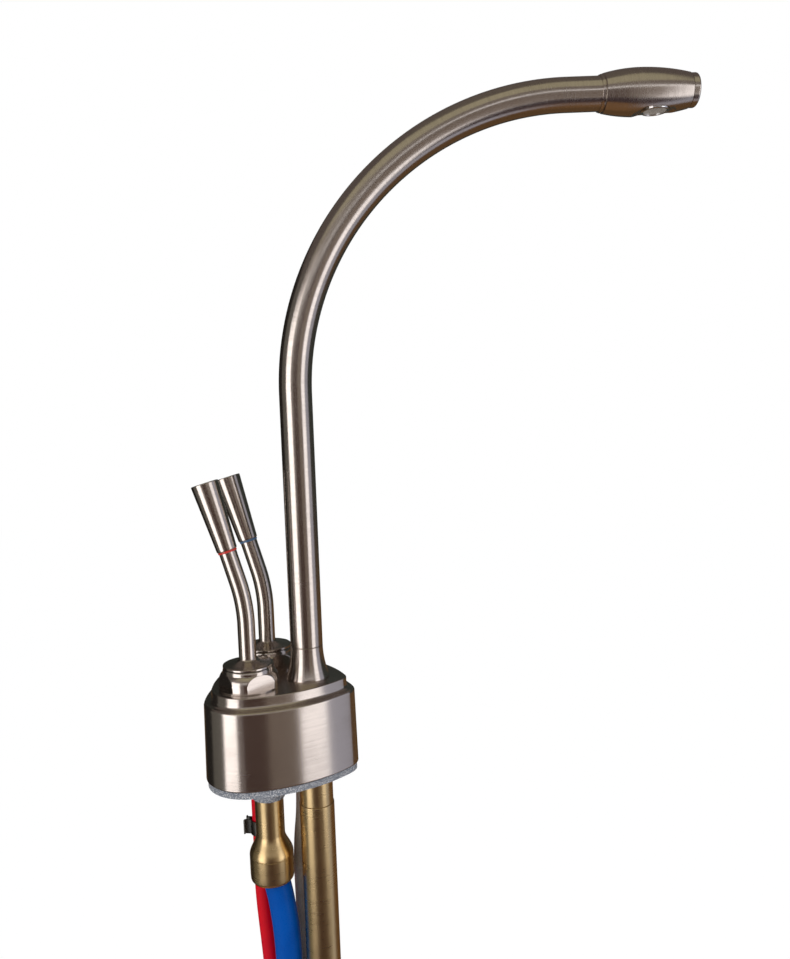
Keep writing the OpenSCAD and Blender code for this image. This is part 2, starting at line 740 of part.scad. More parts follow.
module mounting_shank() color("goldenrod") {
    translate([0, -shank_y, 0]) rotate_extrude() polygon([
        [shank_bore_r, -shank_l], [shank_r - 0.5, -shank_l], [shank_r, -shank_l + 0.5],
        [shank_r, -sleeve_l - 0.2], [shank_r - 0.2, -sleeve_l], [shank_bore_r, -sleeve_l]
    ]);
}

module bell_fitting() color("goldenrod") {
    cup_top = -bell_l + bell_cup;
    cone_top = cup_top + bell_cone;
    translate([0, bell_y, 0]) rotate_extrude() polygon([
        [flow_r, plate_t], [bell_neck_r, plate_t], [bell_neck_r, cone_top], [bell_neck_r + 0.35, cone_top - 2.2],
        [bell_r - 0.3, cup_top + 1.2], [bell_r, cup_top], [bell_r, -bell_l + 1.6], [bell_r - 0.5, -bell_l + 0.5],
        [bell_r - 1, -bell_l], [bell_r - bell_wall, -bell_l], [bell_r - bell_wall, cup_top],
        [flow_r, cone_top - 3]
    ]);
}

module barb(at, l) {
    translate([at[0], at[1], 0]) difference() {
        union() {
            post(0, 0, -0.8, barb_rise, barb_body_r);
            post(0, 0, -l, 0, barb_r - 0.3);
            for (z = [-l:3:-6]) translate([0, 0, z]) cylinder(h = 2, r1 = barb_r - 0.5, r2 = barb_r);
        }
        post(0, 0, -l - over, barb_rise + over, barb_bore_r);
    }
}

module hot_tube_barb() color("goldenrod") barb(hot_barb_at, barb_l);
module vent_tube_barb() color("goldenrod") barb(vent_barb_at, vent_barb_l);

module spring_clip(at) {
    out_r = clip_in_r + clip_wall;
    translate(at) {
        difference() {
            hollow_post(0, clip_h, out_r, clip_in_r);
            translate([-0.9, 0, -over]) cube([1.8, out_r + over, clip_h + 2 * over]);
        }
        for (x = [-1.5, 0.9]) translate([x, clip_in_r - 0.1, 0]) cube([0.6, clip_tab, clip_h]);
        for (x = [-2.4, 0.9]) translate([x, clip_in_r + clip_tab - 0.7, 0]) cube([1.5, 0.6, clip_h]);
    }
}

module hot_hose_clip() color("dimgray") spring_clip(hose_clip_at);
module hot_end_clip() color("dimgray") spring_clip(hot_end_clip_at);
module vent_end_clip() color("dimgray") spring_clip(vent_end_clip_at);

// A tube that is pushed onto a barb.
module barbed_tube(route, at, l) {
    difference() {
        swept_tube(route, silicone_r);
        post(at[0], at[1], -l - 0.3, over, barb_r + press);
    }
}

module hot_tube() color("red") barbed_tube(hot_route, hot_barb_at, barb_l);
module cold_tube() color("blue") swept_tube(cold_route, cold_tube_r);
module vent_tube() color("lightgray") barbed_tube(vent_route, vent_barb_at, vent_barb_l);

module cold_tube_nut() color("goldenrod") {
    translate([nut_at[0], nut_at[1], nut_top - nut_h]) difference() {
        union() {
            cylinder(h = nut_h, r = nut_r, $fn = 6);
            cylinder(h = nut_h + 2, r = nut_r - 1.6);
        }
        translate([0, 0, -over]) cylinder(h = nut_h + 2 + 2 * over, r = nut_bore_r);
        translate([0, 0, -over]) cylinder(h = nut_h - 2, r = sleeve_ring_r + 0.6);
    }
}

module cold_tube_sleeve() color("khaki") {
    translate([nut_at[0], nut_at[1], nut_top - 3 - sleeve_ring_t]) rotate_extrude() polygon([
        [cold_tube_r + press, 0], [sleeve_ring_r - 0.6, 0], [sleeve_ring_r, 1.2],
        [sleeve_ring_r, sleeve_ring_t - 1.2], [sleeve_ring_r - 0.6, sleeve_ring_t], [cold_tube_r + press, sleeve_ring_t]
    ]);
}

module hot_cartridge() color("goldenrod") cartridge(-1);
module cold_cartridge() color("goldenrod") cartridge(1);
module hot_cartridge_seal() color("black") cartridge_seal(-1);
module cold_cartridge_seal() color("black") cartridge_seal(1);
module hot_fixed_disc() color("white") ceramic_disc(-1, fixed_z);
module cold_fixed_disc() color("white") ceramic_disc(1, fixed_z);
module hot_turning_disc() color("ivory") ceramic_disc(-1, turning_z);
module cold_turning_disc() color("ivory") ceramic_disc(1, turning_z);
module hot_stem() color("khaki") stem(-1);
module cold_stem() color("khaki") stem(1);
module hot_bonnet() color("rosybrown") bonnet(-1);
module cold_bonnet() color("rosybrown") bonnet(1);
module hot_lever_cap() color("rosybrown") lever_cap(-1);
module cold_lever_cap() color("rosybrown") lever_cap(1);
module hot_grub_screw() color("gray") grub_screw(-1);
module cold_grub_screw() color("gray") grub_screw(1);
module hot_lever_rod() color("rosybrown") lever_rod(-1);
module cold_lever_rod() color("rosybrown") lever_rod(1);
module hot_ring() color("red") marking_ring(-1);
module cold_ring() color("steelblue") marking_ring(1);
module hot_grip() color("rosybrown") grip(-1);
module cold_grip() color("rosybrown") grip(1);

base_plate();
body_shell();
valve_manifold();
manifold_screws();
shell_screws();
hot_cartridge();
cold_cartridge();
hot_cartridge_seal();
cold_cartridge_seal();
hot_fixed_disc();
cold_fixed_disc();
hot_turning_disc();
cold_turning_disc();
hot_stem();
cold_stem();
hot_bonnet();
cold_bonnet();
hot_lever_cap();
cold_lever_cap();
hot_grub_screw();
cold_grub_screw();
hot_lever_rod();
cold_lever_rod();
hot_ring();
cold_ring();
hot_grip();
cold_grip();
spout_collar();
spout_tail();
spout_seals();
spout_clip();
spout_tube();
outlet_head();
outlet_plug();
head_seal();
aerator_housing();
aerator_insert();
aerator_washer();
shank_sleeve();
mounting_shank();
bell_fitting();
hot_tube_barb();
vent_tube_barb();
hot_hose_clip();
hot_tube();
cold_tube();
vent_tube();
cold_tube_nut();
cold_tube_sleeve();
hot_end_clip();
vent_end_clip();
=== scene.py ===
"""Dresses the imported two-lever boiling water tap: shapes, finishes, camera and studio.

Sizes are in millimetres unless a name or a docstring says otherwise. Z is up, the sink's top face
is z = 0, the spout's side is -Y and the hot valve is at -X.
"""
from __future__ import annotations

import logging
import math
from dataclasses import dataclass, field
from enum import Enum
from typing import Callable, Sequence

import bmesh
import bpy
from mathutils import Matrix, Vector

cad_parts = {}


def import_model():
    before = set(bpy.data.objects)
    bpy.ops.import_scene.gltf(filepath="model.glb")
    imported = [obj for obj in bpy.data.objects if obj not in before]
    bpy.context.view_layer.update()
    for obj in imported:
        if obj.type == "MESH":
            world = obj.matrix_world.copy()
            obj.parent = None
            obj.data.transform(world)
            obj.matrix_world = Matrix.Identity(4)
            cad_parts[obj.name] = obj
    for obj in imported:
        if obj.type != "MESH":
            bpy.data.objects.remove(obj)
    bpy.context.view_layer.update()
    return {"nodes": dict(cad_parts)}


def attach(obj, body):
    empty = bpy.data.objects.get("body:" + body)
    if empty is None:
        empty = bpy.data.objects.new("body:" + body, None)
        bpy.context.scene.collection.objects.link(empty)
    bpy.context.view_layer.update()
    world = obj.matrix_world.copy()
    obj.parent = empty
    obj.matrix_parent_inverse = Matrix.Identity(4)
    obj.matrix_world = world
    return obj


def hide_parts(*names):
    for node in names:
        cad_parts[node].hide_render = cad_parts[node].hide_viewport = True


LOG = logging.getLogger("tap")
MM = 0.001
GRAIN_UV = "Grain"
FLAT_GUARD = 0.06

Point = tuple[float, float]
Span = tuple[float, float]
Place = tuple[float, float, float]
Colour = tuple[float, float, float]


class Side(Enum):
    """The two valves, and which side of the middle plane each is on."""

    HOT = -1
    COLD = 1

    @property
    def word(self) -> str:
        """The side's name, as the nodes use it."""
        return self.name.lower()

    @property
    def body(self) -> str:
        """The body that the side's lever rides on."""
        return f"{self.word}_lever"


# ------------------------------------------------------------------------------------------
# Shapes
# ------------------------------------------------------------------------------------------


@dataclass(frozen=True)
class Corner:
    """A corner of a section, and the radius that it is rounded to."""

    x: float
    y: float
    round: float = 0.0


def on_circle(centre: Vector, radius: float, angle: float) -> Point:
    """A point on a circle, at an angle in radians."""
    return (centre.x + radius * math.cos(angle), centre.y + radius * math.sin(angle))


def angle_to(a: Vector, b: Vector) -> float:
    """The direction from one point to another, in radians."""
    return math.atan2(b.y - a.y, b.x - a.x)


def ring_arc(centre: Vector, radius: float, start: float, turn: float, steps: int) -> list[Vector]:
    """Points on an arc, without its last one.

    Args:
        centre: The arc's centre.
        radius: Its radius.
        start: Its first angle.
        turn: How far it turns.
        steps: How many points it has.

    Returns:
        The points.
    """
    angles = [start + turn * k / steps for k in range(steps)]
    return [centre + radius * Vector((math.cos(a), math.sin(a))) for a in angles]


def short_turn(start: float, end: float) -> float:
    """The turn from one angle to another by the shorter way, in radians."""
    return (end - start + math.pi) % (2 * math.pi) - math.pi


def rounded(corners: Sequence[Corner], steps: int = 6) -> list[Point]:
    """Turns a row of corners into points, with an arc at each rounded corner.

    Args:
        corners: The corners in order. The first and last stay sharp.
        steps: How many pieces each arc has.

    Returns:
        The section's points. Each arc has one more point just before and after it, which keeps
        flats flat.
    """
    points: list[Point] = []
    for i, c in enumerate(corners):
        if c.round <= 0 or i in (0, len(corners) - 1):
            points.append((c.x, c.y))
            continue
        here = Vector((c.x, c.y))
        before = (Vector((corners[i - 1].x, corners[i - 1].y)) - here).normalized()
        after = (Vector((corners[i + 1].x, corners[i + 1].y)) - here).normalized()
        half = before.angle(after) / 2
        reach = c.round / math.tan(half)
        centre = here + (before + after).normalized() * (c.round / math.sin(half))
        start, end = here + before * reach, here + after * reach
        a0 = angle_to(centre, start)
        turn = short_turn(a0, angle_to(centre, end))
        points.append(tuple(start + before * FLAT_GUARD))
        points += [on_circle(centre, c.round, a0 + turn * k / steps) for k in range(steps + 1)]
        points.append(tuple(end + after * FLAT_GUARD))
    return points


def arc_between(x0: float, y0: float, x1: float, y1: float, bulge: float, steps: int = 16) -> list[Point]:
    """Points on an arc between two points.

    Args:
        x0: First point's x.
        y0: First point's y.
        x1: Last point's x.
        y1: Last point's y.
        bulge: The arc's height over its chord, positive to the right of the way to the last point.
        steps: How many pieces the arc has.

    Returns:
        The points, both ends included.
    """
    a, b = Vector((x0, y0)), Vector((x1, y1))
    chord = b - a
    out = Vector((chord.y, -chord.x)).normalized()
    half = chord.length / 2
    radius = (half * half + bulge * bulge) / (2 * abs(bulge))
    middle = (a + b) / 2 + out * (bulge - math.copysign(radius, bulge))
    a0 = angle_to(middle, a)
    turn = short_turn(a0, angle_to(middle, b))
    return [on_circle(middle, radius, a0 + turn * k / steps) for k in range(steps + 1)]


def add_object(name: str, data: bpy.types.ID) -> bpy.types.Object:
    """Puts a new object in the scene.

    Args:
        name: The object's name.
        data: Its mesh, lamp or camera.

    Returns:
        The object.
    """
    obj = bpy.data.objects.new(name, data)
    bpy.context.scene.collection.objects.link(obj)
    return obj


def shade(mesh: bpy.types.Mesh, sharp_deg: float) -> None:
    """Shades a mesh smooth, apart from the edges that turn more than an angle."""
    mesh.polygons.foreach_set("use_smooth", [True] * len(mesh.polygons))
    mesh.set_sharp_from_angle(angle=math.radians(sharp_deg))


def skin(
    name: str, rings: Sequence[Sequence[Vector]], loop: bool = False, sharp_deg: float = 32.0,
) -> bpy.types.Object:
    """Joins rings of points into one closed mesh object.

    Args:
        name: The object's name.
        rings: The rings in order, in millimetres. A ring of one point is a pole. All others have
            the same length.
        loop: Whether the last ring joins the first. Otherwise each end gets a face.
        sharp_deg: Edges that turn more than this stay sharp.

    Returns:
        The object, with a UV layer that runs round each ring in u and along the section, in
        metres, in v.
    """
    verts: list[Vector] = []
    starts: list[int] = []
    for ring in rings:
        starts.append(len(verts))
        verts.extend(p * MM for p in ring)
    count = max(len(r) for r in rings)
    along = [0.0]
    for a, b in zip(rings, rings[1:]):
        step = sum((a[i % len(a)] - b[i % len(b)]).length for i in range(count)) / count
        along.append(along[-1] + step * MM)
    faces: list[tuple[int, ...]] = []
    uvs: list[tuple[float, float]] = []
    last = len(rings) if loop else len(rings) - 1
    for j in range(last):
        k = (j + 1) % len(rings)
        va, vb = along[j], along[j + 1] if j + 1 < len(rings) else along[j] + 0.001
        for i in range(count):
            n = (i + 1) % count
            u0, u1 = i / count, (i + 1) / count
            if len(rings[j]) == 1:
                faces.append((starts[j], starts[k] + n, starts[k] + i))
                uvs.extend([(u0, va), (u1, vb), (u0, vb)])
            elif len(rings[k]) == 1:
                faces.append((starts[j] + i, starts[j] + n, starts[k]))
                uvs.extend([(u0, va), (u1, va), (u0, vb)])
            else:
                faces.append((starts[j] + i, starts[j] + n, starts[k] + n, starts[k] + i))
                uvs.extend([(u0, va), (u1, va), (u1, vb), (u0, vb)])
    if not loop:
        for j, turn in ((0, -1), (len(rings) - 1, 1)):
            if len(rings[j]) > 1:
                order = range(count)[::turn]
                faces.append(tuple(starts[j] + i for i in order))
                uvs.extend([(i / count, along[j]) for i in order])
    mesh = bpy.data.meshes.new(name)
    mesh.from_pydata(verts, [], faces)
    layer = mesh.uv_layers.new(name=GRAIN_UV)
    layer.data.foreach_set("uv", [x for uv in uvs for x in uv])
    return finished(name, mesh, sharp_deg)


def finished(name: str, mesh: bpy.types.Mesh, sharp_deg: float) -> bpy.types.Object:
    """Gives a mesh outward faces and smooth shading with sharp edges, and puts it in the scene.

    Args:
        name: The object's name.
        mesh: The mesh.
        sharp_deg: Edges that turn more than this stay sharp.

    Returns:
        The new object.
    """
    bm = bmesh.new()
    bm.from_mesh(mesh)
    bmesh.ops.recalc_face_normals(bm, faces=bm.faces)
    bm.to_mesh(mesh)
    bm.free()
    shade(mesh, sharp_deg)
    mesh.update()
    return add_object(name, mesh)


def turned(
    name: str, section: Sequence[Point], place: Matrix, sides: int = 160, loop: bool = False,
    limit: Callable[[float, float, float], float] | None = None, sharp_deg: float = 32.0,
) -> bpy.types.Object:
    """Turns a section round the z axis of a place.

    Args:
        name: The object's name.
        section: Points of radius and height.
        place: Where the axis is.
        sides: How many points each ring has.
        loop: Whether the section is closed.
        limit: Gives the radius actually used, from the radius, the height and the angle, for flats.
        sharp_deg: Edges that turn more than this stay sharp.

    Returns:
        The object.
    """
    rings: list[list[Vector]] = []
    for r, z in section:
        if r < 1e-6:
            rings.append([place @ Vector((0, 0, z))])
            continue
        ring = []
        for i in range(sides):
            a = 2 * math.pi * i / sides
            radius = limit(r, z, a) if limit else r
            ring.append(place @ Vector((radius * math.cos(a), radius * math.sin(a), z)))
        rings.append(ring)
    return skin(name, rings, loop, sharp_deg)


def swept(
    name: str, frames: Sequence[Matrix], radii: Sequence[float], sides: int = 64,
) -> bpy.types.Object:
    """A round bar through a row of frames, one ring in each frame's own XY plane.

    Args:
        name: The object's name.
        frames: The frames along the bar.
        radii: The radius at each frame.
        sides: How many points each ring has.

    Returns:
        The object.
    """
    angles = [2 * math.pi * i / sides for i in range(sides)]
    rings = [
        [m @ Vector((r * math.cos(a), r * math.sin(a), 0)) for a in angles]
        for m, r in zip(frames, radii)
    ]
    return skin(name, rings)


def framed(x: Vector, y: Vector, z: Vector, at: Vector) -> Matrix:
    """A frame with these three axes at a place."""
    return Matrix(((x.x, y.x, z.x, at.x), (x.y, y.y, z.y, at.y), (x.z, y.z, z.z, at.z), (0, 0, 0, 1)))


def lifted(z: float) -> Matrix:
    """A move along z."""
    return Matrix.Translation((0, 0, z))


def carried_frames(points: Sequence[Vector]) -> list[Matrix]:
    """Frames along a line whose z axis follows it and that don't twist.

    Args:
        points: The line.

    Returns:
        One frame for each point.
    """
    frames: list[Matrix] = []
    side = Vector((1, 0, 0))
    for i, p in enumerate(points):
        run = (points[min(i + 1, len(points) - 1)] - points[max(i - 1, 0)]).normalized()
        side = (side - run * side.dot(run)).normalized()
        up = run.cross(side)
        frames.append(framed(side, up, run, p))
    return frames


def smooth_line(points: Sequence[Vector], per_gap: int) -> list[Vector]:
    """A smooth line through points.

    Args:
        points: The points.
        per_gap: How many pieces there are between two points.

    Returns:
        The line's points, with the first and last unchanged.
    """
    line: list[Vector] = []
    for i in range(len(points) - 1):
        p0, p1, p2 = points[max(i - 1, 0)], points[i], points[i + 1]
        p3 = points[min(i + 2, len(points) - 1)]
        for k in range(per_gap):
            t = k / per_gap
            square, cube = 2 * p0 - 5 * p1 + 4 * p2 - p3, 3 * p1 - p0 - 3 * p2 + p3
            line.append(0.5 * (2 * p1 + (p2 - p0) * t + square * t * t + cube * t ** 3))
    line.append(points[-1].copy())
    return line


def cut(obj: bpy.types.Object, tools: Sequence[bpy.types.Object], sharp_deg: float = 32.0) -> None:
    """Takes tools out of an object, applies the result and removes the tools.

    Args:
        obj: The object that is cut.
        tools: The objects that cut it.
        sharp_deg: Edges that turn more than this stay sharp.
    """
    for tool in tools:
        mod = obj.modifiers.new(tool.name, "BOOLEAN")
        mod.object = tool
        mod.operation = "DIFFERENCE"
        mod.solver = "EXACT"
    bpy.context.view_layer.update()
    graph = bpy.context.evaluated_depsgraph_get()
    mesh = bpy.data.meshes.new_from_object(obj.evaluated_get(graph), depsgraph=graph)
    obj.modifiers.clear()
    obj.data = mesh
    for tool in tools:
        bpy.data.objects.remove(tool)
    shade(mesh, sharp_deg)


# ------------------------------------------------------------------------------------------
# Shared effects
# ------------------------------------------------------------------------------------------


class Graph:
    """A node tree with short ways to add and join nodes."""

    def __init__(self, tree: bpy.types.NodeTree) -> None:
        """Takes the tree that the nodes go into."""
        self.tree = tree

    def add(
        self, kind: str, inputs: dict[str | int, object] | None = None, **settings: object,
    ) -> bpy.types.Node:
        """Adds a node.

        Args:
            kind: The node's type.
            inputs: Values or sockets for its inputs, by name or place.
            settings: The node's own settings.

        Returns:
            The node.
        """
        node = self.tree.nodes.new(kind)
        for key, value in settings.items():
            setattr(node, key, value)
        self.feed(node, inputs or {})
        return node

    def feed(self, node: bpy.types.Node, inputs: dict[str | int, object]) -> None:
        """Sets a node's inputs, or joins sockets to them.

        Args:
            node: The node.
            inputs: Values or sockets for its inputs, by name or place.
        """
        for key, value in inputs.items():
            if isinstance(value, bpy.types.NodeSocket):
                self.tree.links.new(value, node.inputs[key])
            else:
                node.inputs[key].default_value = value

    def math(
        self, operation: str, a: object, b: object = 0.0, clamp: bool = False,
    ) -> bpy.types.NodeSocket:
        """Adds a math node and returns its result."""
        node = self.add("ShaderNodeMath", {0: a, 1: b}, operation=operation, use_clamp=clamp)
        return node.outputs[0]

    def remap(
        self, value: object, low: float, high: float, to_low: float, to_high: float,
    ) -> bpy.types.NodeSocket:
        """Maps a value from one range to another, clamped, and returns the result."""
        node = self.add("ShaderNodeMapRange", {0: value, 1: low, 2: high, 3: to_low, 4: to_high})
        return node.outputs[0]

    def mix(self, mask: object, a: object, b: object) -> bpy.types.NodeSocket:
        """Mixes two colours by a mask and returns the result."""
        first, second = (v if isinstance(v, bpy.types.NodeSocket) else (*v, 1.0) for v in (a, b))
        return self.add("ShaderNodeMix", {0: mask, 6: first, 7: second}, data_type="RGBA").outputs[2]

    def shown_white(self) -> bpy.types.NodeSocket:
        """Adds a mask that is 1 where a surface is seen, mirrored or looked at through glass.

        Returns:
            The mask.
        """
        path = self.add("ShaderNodeLightPath")
        seen = self.math("ADD", path.outputs["Is Camera Ray"], path.outputs["Is Glossy Ray"])
        return self.math("ADD", seen, path.outputs["Is Transmission Ray"], clamp=True)


class Effects:
    """The node groups that several finishes share. Each is built once."""

    def __init__(self) -> None:
        """Starts with no group built."""
        self._built: dict[str, bpy.types.NodeTree] = {}

    def _start(
        self, name: str, inputs: Sequence[tuple[str, str, float]], outputs: Sequence[str],
    ) -> tuple[Graph, dict[str, bpy.types.NodeSocket]]:
        """Makes an empty group.

        Args:
            name: The group's name.
            inputs: Name, socket type and default of each input.
            outputs: The names of the value outputs.

        Returns:
            The group's graph, and its input sockets by name.
        """
        tree = bpy.data.node_groups.new(name, "ShaderNodeTree")
        for word, kind, default in inputs:
            socket = tree.interface.new_socket(name=word, in_out="INPUT", socket_type=kind)
            if kind == "NodeSocketFloat":
                socket.default_value = default
        for word in outputs:
            tree.interface.new_socket(name=word, in_out="OUTPUT", socket_type="NodeSocketFloat")
        graph = Graph(tree)
        source = graph.add("NodeGroupInput")
        self._built[name] = tree
        return graph, {s.name: s for s in source.outputs if s.name}

    def brushed_grain(self) -> bpy.types.NodeTree:
        """Fine lines round a turned or bent piece, and the soft blotches of a satin finish.

        Returns:
            The group: Place is the Grain UV, Girth the piece's radius in metres, Around and Along
            how many changes there are for each metre. It gives Lines and Blotches, from 0 to 1.
        """
        if "brushed_grain" in self._built:
            return self._built["brushed_grain"]
        graph, given = self._start(
            "brushed_grain",
            [("Place", "NodeSocketVector", 0.0), ("Girth", "NodeSocketFloat", 0.006),
             ("Around", "NodeSocketFloat", 60.0), ("Along", "NodeSocketFloat", 2600.0)],
            ["Lines", "Blotches"],
        )
        split = graph.add("ShaderNodeSeparateXYZ", {0: given["Place"]})
        angle = graph.math("MULTIPLY", split.outputs[0], 2 * math.pi)
        x = graph.math("MULTIPLY", graph.math("COSINE", angle), given["Girth"])
        y = graph.math("MULTIPLY", graph.math("SINE", angle), given["Girth"])
        lines_at = graph.add("ShaderNodeCombineXYZ", {
            0: graph.math("MULTIPLY", x, given["Around"]),
            1: graph.math("MULTIPLY", y, given["Around"]),
            2: graph.math("MULTIPLY", split.outputs[1], given["Along"]),
        })
        lines = graph.add("ShaderNodeTexNoise", {
            "Vector": lines_at.outputs[0], "Scale": 1.0, "Detail": 3.0, "Roughness": 0.6,
        })
        place = graph.add("ShaderNodeCombineXYZ", {0: x, 1: y, 2: split.outputs[1]})
        blotches = graph.add("ShaderNodeTexNoise", {
            "Vector": place.outputs[0], "Scale": 90.0, "Detail": 2.0,
        })
        graph.add("NodeGroupOutput", {
            "Lines": graph.remap(lines.outputs[0], 0.3, 0.7, 0.0, 1.0),
            "Blotches": graph.remap(blotches.outputs[0], 0.35, 0.65, 0.0, 1.0),
        })
        return self._built["brushed_grain"]

    def handling_marks(self) -> bpy.types.NodeTree:
        """Smudges and specks that a piece picks up when it is handled.

        Returns:
            The group: Place is any coordinate in metres, Size the marks' size in metres. It gives
            Smudge and Speck, from 0 to 1.
        """
        if "handling_marks" in self._built:
            return self._built["handling_marks"]
        graph, given = self._start(
            "handling_marks",
            [("Place", "NodeSocketVector", 0.0), ("Size", "NodeSocketFloat", 0.01)],
            ["Smudge", "Speck"],
        )
        scale = graph.math("DIVIDE", 1.0, given["Size"])
        soft = graph.add("ShaderNodeTexNoise", {
            "Vector": given["Place"], "Scale": scale, "Detail": 4.0, "Distortion": 0.6,
        })
        fine_scale = graph.math("MULTIPLY", scale, 18.0)
        fine = graph.add("ShaderNodeTexNoise", {
            "Vector": given["Place"], "Scale": fine_scale, "Detail": 1.0,
        })
        graph.add("NodeGroupOutput", {
            "Smudge": graph.remap(soft.outputs[0], 0.48, 0.72, 0.0, 1.0),
            "Speck": graph.remap(fine.outputs[0], 0.68, 0.76, 0.0, 1.0),
        })
        return self._built["handling_marks"]

    def cast_skin(self) -> bpy.types.NodeTree:
        """The pits of a rough casting, and a mask of small spots where glints are painted.

        Returns:
            The group: Place is any coordinate in metres, Size the pits' size in metres. It gives
            Pits, and the spots of painted glints, from 0 to 1.
        """
        if "cast_skin" in self._built:
            return self._built["cast_skin"]
        graph, given = self._start(
            "cast_skin",
            [("Place", "NodeSocketVector", 0.0), ("Size", "NodeSocketFloat", 0.0008)],
            ["Pits", "Fleck"],
        )
        scale = graph.math("DIVIDE", 1.0, given["Size"])
        pits = graph.add("ShaderNodeTexNoise", {
            "Vector": given["Place"], "Scale": scale, "Detail": 4.0, "Roughness": 0.7,
        })
        cell_scale = graph.math("MULTIPLY", scale, 1.6)
        cells = graph.add("ShaderNodeTexVoronoi", {"Vector": given["Place"], "Scale": cell_scale})
        # Painted glints: the bright cells mark where the casting's sparkle is painted into its colour.
        graph.add("NodeGroupOutput", {
            "Pits": pits.outputs[0],
            "Fleck": graph.remap(cells.outputs[0], 0.2, 0.5, 1.0, 0.0),
        })
        return self._built["cast_skin"]


EFFECTS = Effects()


# ------------------------------------------------------------------------------------------
# Finishes
# ------------------------------------------------------------------------------------------


def bare_material(name: str) -> tuple[bpy.types.Material, Graph]:
    """Makes a material with no nodes.

    Args:
        name: The material's name.

    Returns:
        The material and its graph.
    """
    material = bpy.data.materials.new(name)
    material.use_nodes = True
    material.node_tree.nodes.clear()
    return material, Graph(material.node_tree)


def new_material(name: str) -> tuple[bpy.types.Material, Graph, bpy.types.Node]:
    """Makes a material with one shader.

    Args:
        name: The material's name.

    Returns:
        The material, its graph and its shader.
    """
    material, graph = bare_material(name)
    shader = graph.add("ShaderNodeBsdfPrincipled")
    graph.add("ShaderNodeOutputMaterial", {"Surface": shader.outputs[0]})
    return material, graph, shader


def add_marks(graph: Graph, size: float) -> bpy.types.Node:
    """Adds the handling marks to a material.

    Args:
        graph: The material's graph.
        size: The marks' size.

    Returns:
        The marks' node, with Smudge and Speck.
    """
    spot = graph.add("ShaderNodeTexCoord")
    return graph.add(
        "ShaderNodeGroup", {"Place": spot.outputs["Object"], "Size": size * MM},
        node_tree=EFFECTS.handling_marks(),
    )


def add_bump(
    graph: Graph, height: bpy.types.NodeSocket, depth: float, strength: float,
) -> bpy.types.NodeSocket:
    """Adds a bump to a material.

    Args:
        graph: The material's graph.
        height: What the bump follows.
        depth: How deep it is.
        strength: How much of it shows, from 0 to 1.

    Returns:
        The surface's normal.
    """
    values = {"Strength": strength, "Distance": depth * MM, "Height": height}
    return graph.add("ShaderNodeBump", values).outputs[0]


@dataclass(frozen=True)
class BrushedMetal:
    """A metal with fine lines round it, such as satin nickel or turned brass."""

    name: str
    slot: str
    colour: Colour
    dull: Colour
    roughness: Span
    girth: float = 6.0
    along: float = 2600.0
    around: float = 60.0
    depth: float = 0.004
    line_tone: float = 0.12
    stretch: float = 0.6
    stretch_turn: float = 0.25
    smudge_size: float = 14.0
    smudge_tone: float = 0.2
    smudge_rough: float = 0.02

    def build(self) -> bpy.types.Material:
        """Makes the material: lines change its roughness, tone and height, and smudges dull it.

        Returns:
            The material.
        """
        material, graph, shader = new_material(self.name)
        place = graph.add("ShaderNodeUVMap", uv_map=GRAIN_UV)
        grain = graph.add("ShaderNodeGroup", {
            "Place": place.outputs[0], "Girth": self.girth * MM,
            "Around": self.around, "Along": self.along,
        }, node_tree=EFFECTS.brushed_grain())
        smudge = add_marks(graph, self.smudge_size).outputs["Smudge"]
        lines, blotches = grain.outputs["Lines"], grain.outputs["Blotches"]
        toned = graph.mix(graph.math("MULTIPLY", lines, self.line_tone), self.colour, self.dull)
        toned = graph.mix(graph.math("MULTIPLY", smudge, self.smudge_tone), toned, self.dull)
        spread = graph.math(
            "ADD", graph.math("MULTIPLY", lines, 0.6), graph.math("MULTIPLY", blotches, 0.4),
        )
        rough = graph.remap(spread, 0.0, 1.0, *self.roughness)
        rough = graph.math("ADD", rough, graph.math("MULTIPLY", smudge, self.smudge_rough))
        lay = graph.add("ShaderNodeTangent", direction_type="UV_MAP", uv_map=GRAIN_UV)
        graph.feed(shader, {
            "Base Color": toned, "Roughness": rough, "Metallic": 1.0, "Anisotropic": self.stretch,
            "Anisotropic Rotation": self.stretch_turn, "Tangent": lay.outputs[0],
            "Normal": add_bump(graph, lines, self.depth, 1.0),
        })
        return material


@dataclass(frozen=True)
class PlainMetal:
    """A metal with no lay, on pieces that keep their own solid, such as screws and hidden brass."""

    name: str
    slot: str
    colour: Colour
    dull: Colour
    roughness: Span
    mark_size: float = 6.0
    depth: float = 0.02

    def build(self) -> bpy.types.Material:
        """Makes the material: smudges and specks change its tone, roughness and height.

        Returns:
            The material.
        """
        material, graph, shader = new_material(self.name)
        marks = add_marks(graph, self.mark_size)
        smudge = marks.outputs["Smudge"]
        graph.feed(shader, {
            "Base Color": graph.mix(smudge, self.colour, self.dull), "Metallic": 1.0,
            "Roughness": graph.remap(smudge, 0.0, 1.0, *self.roughness),
            "Normal": add_bump(graph, marks.outputs["Speck"], self.depth, 0.5),
        })
        return material


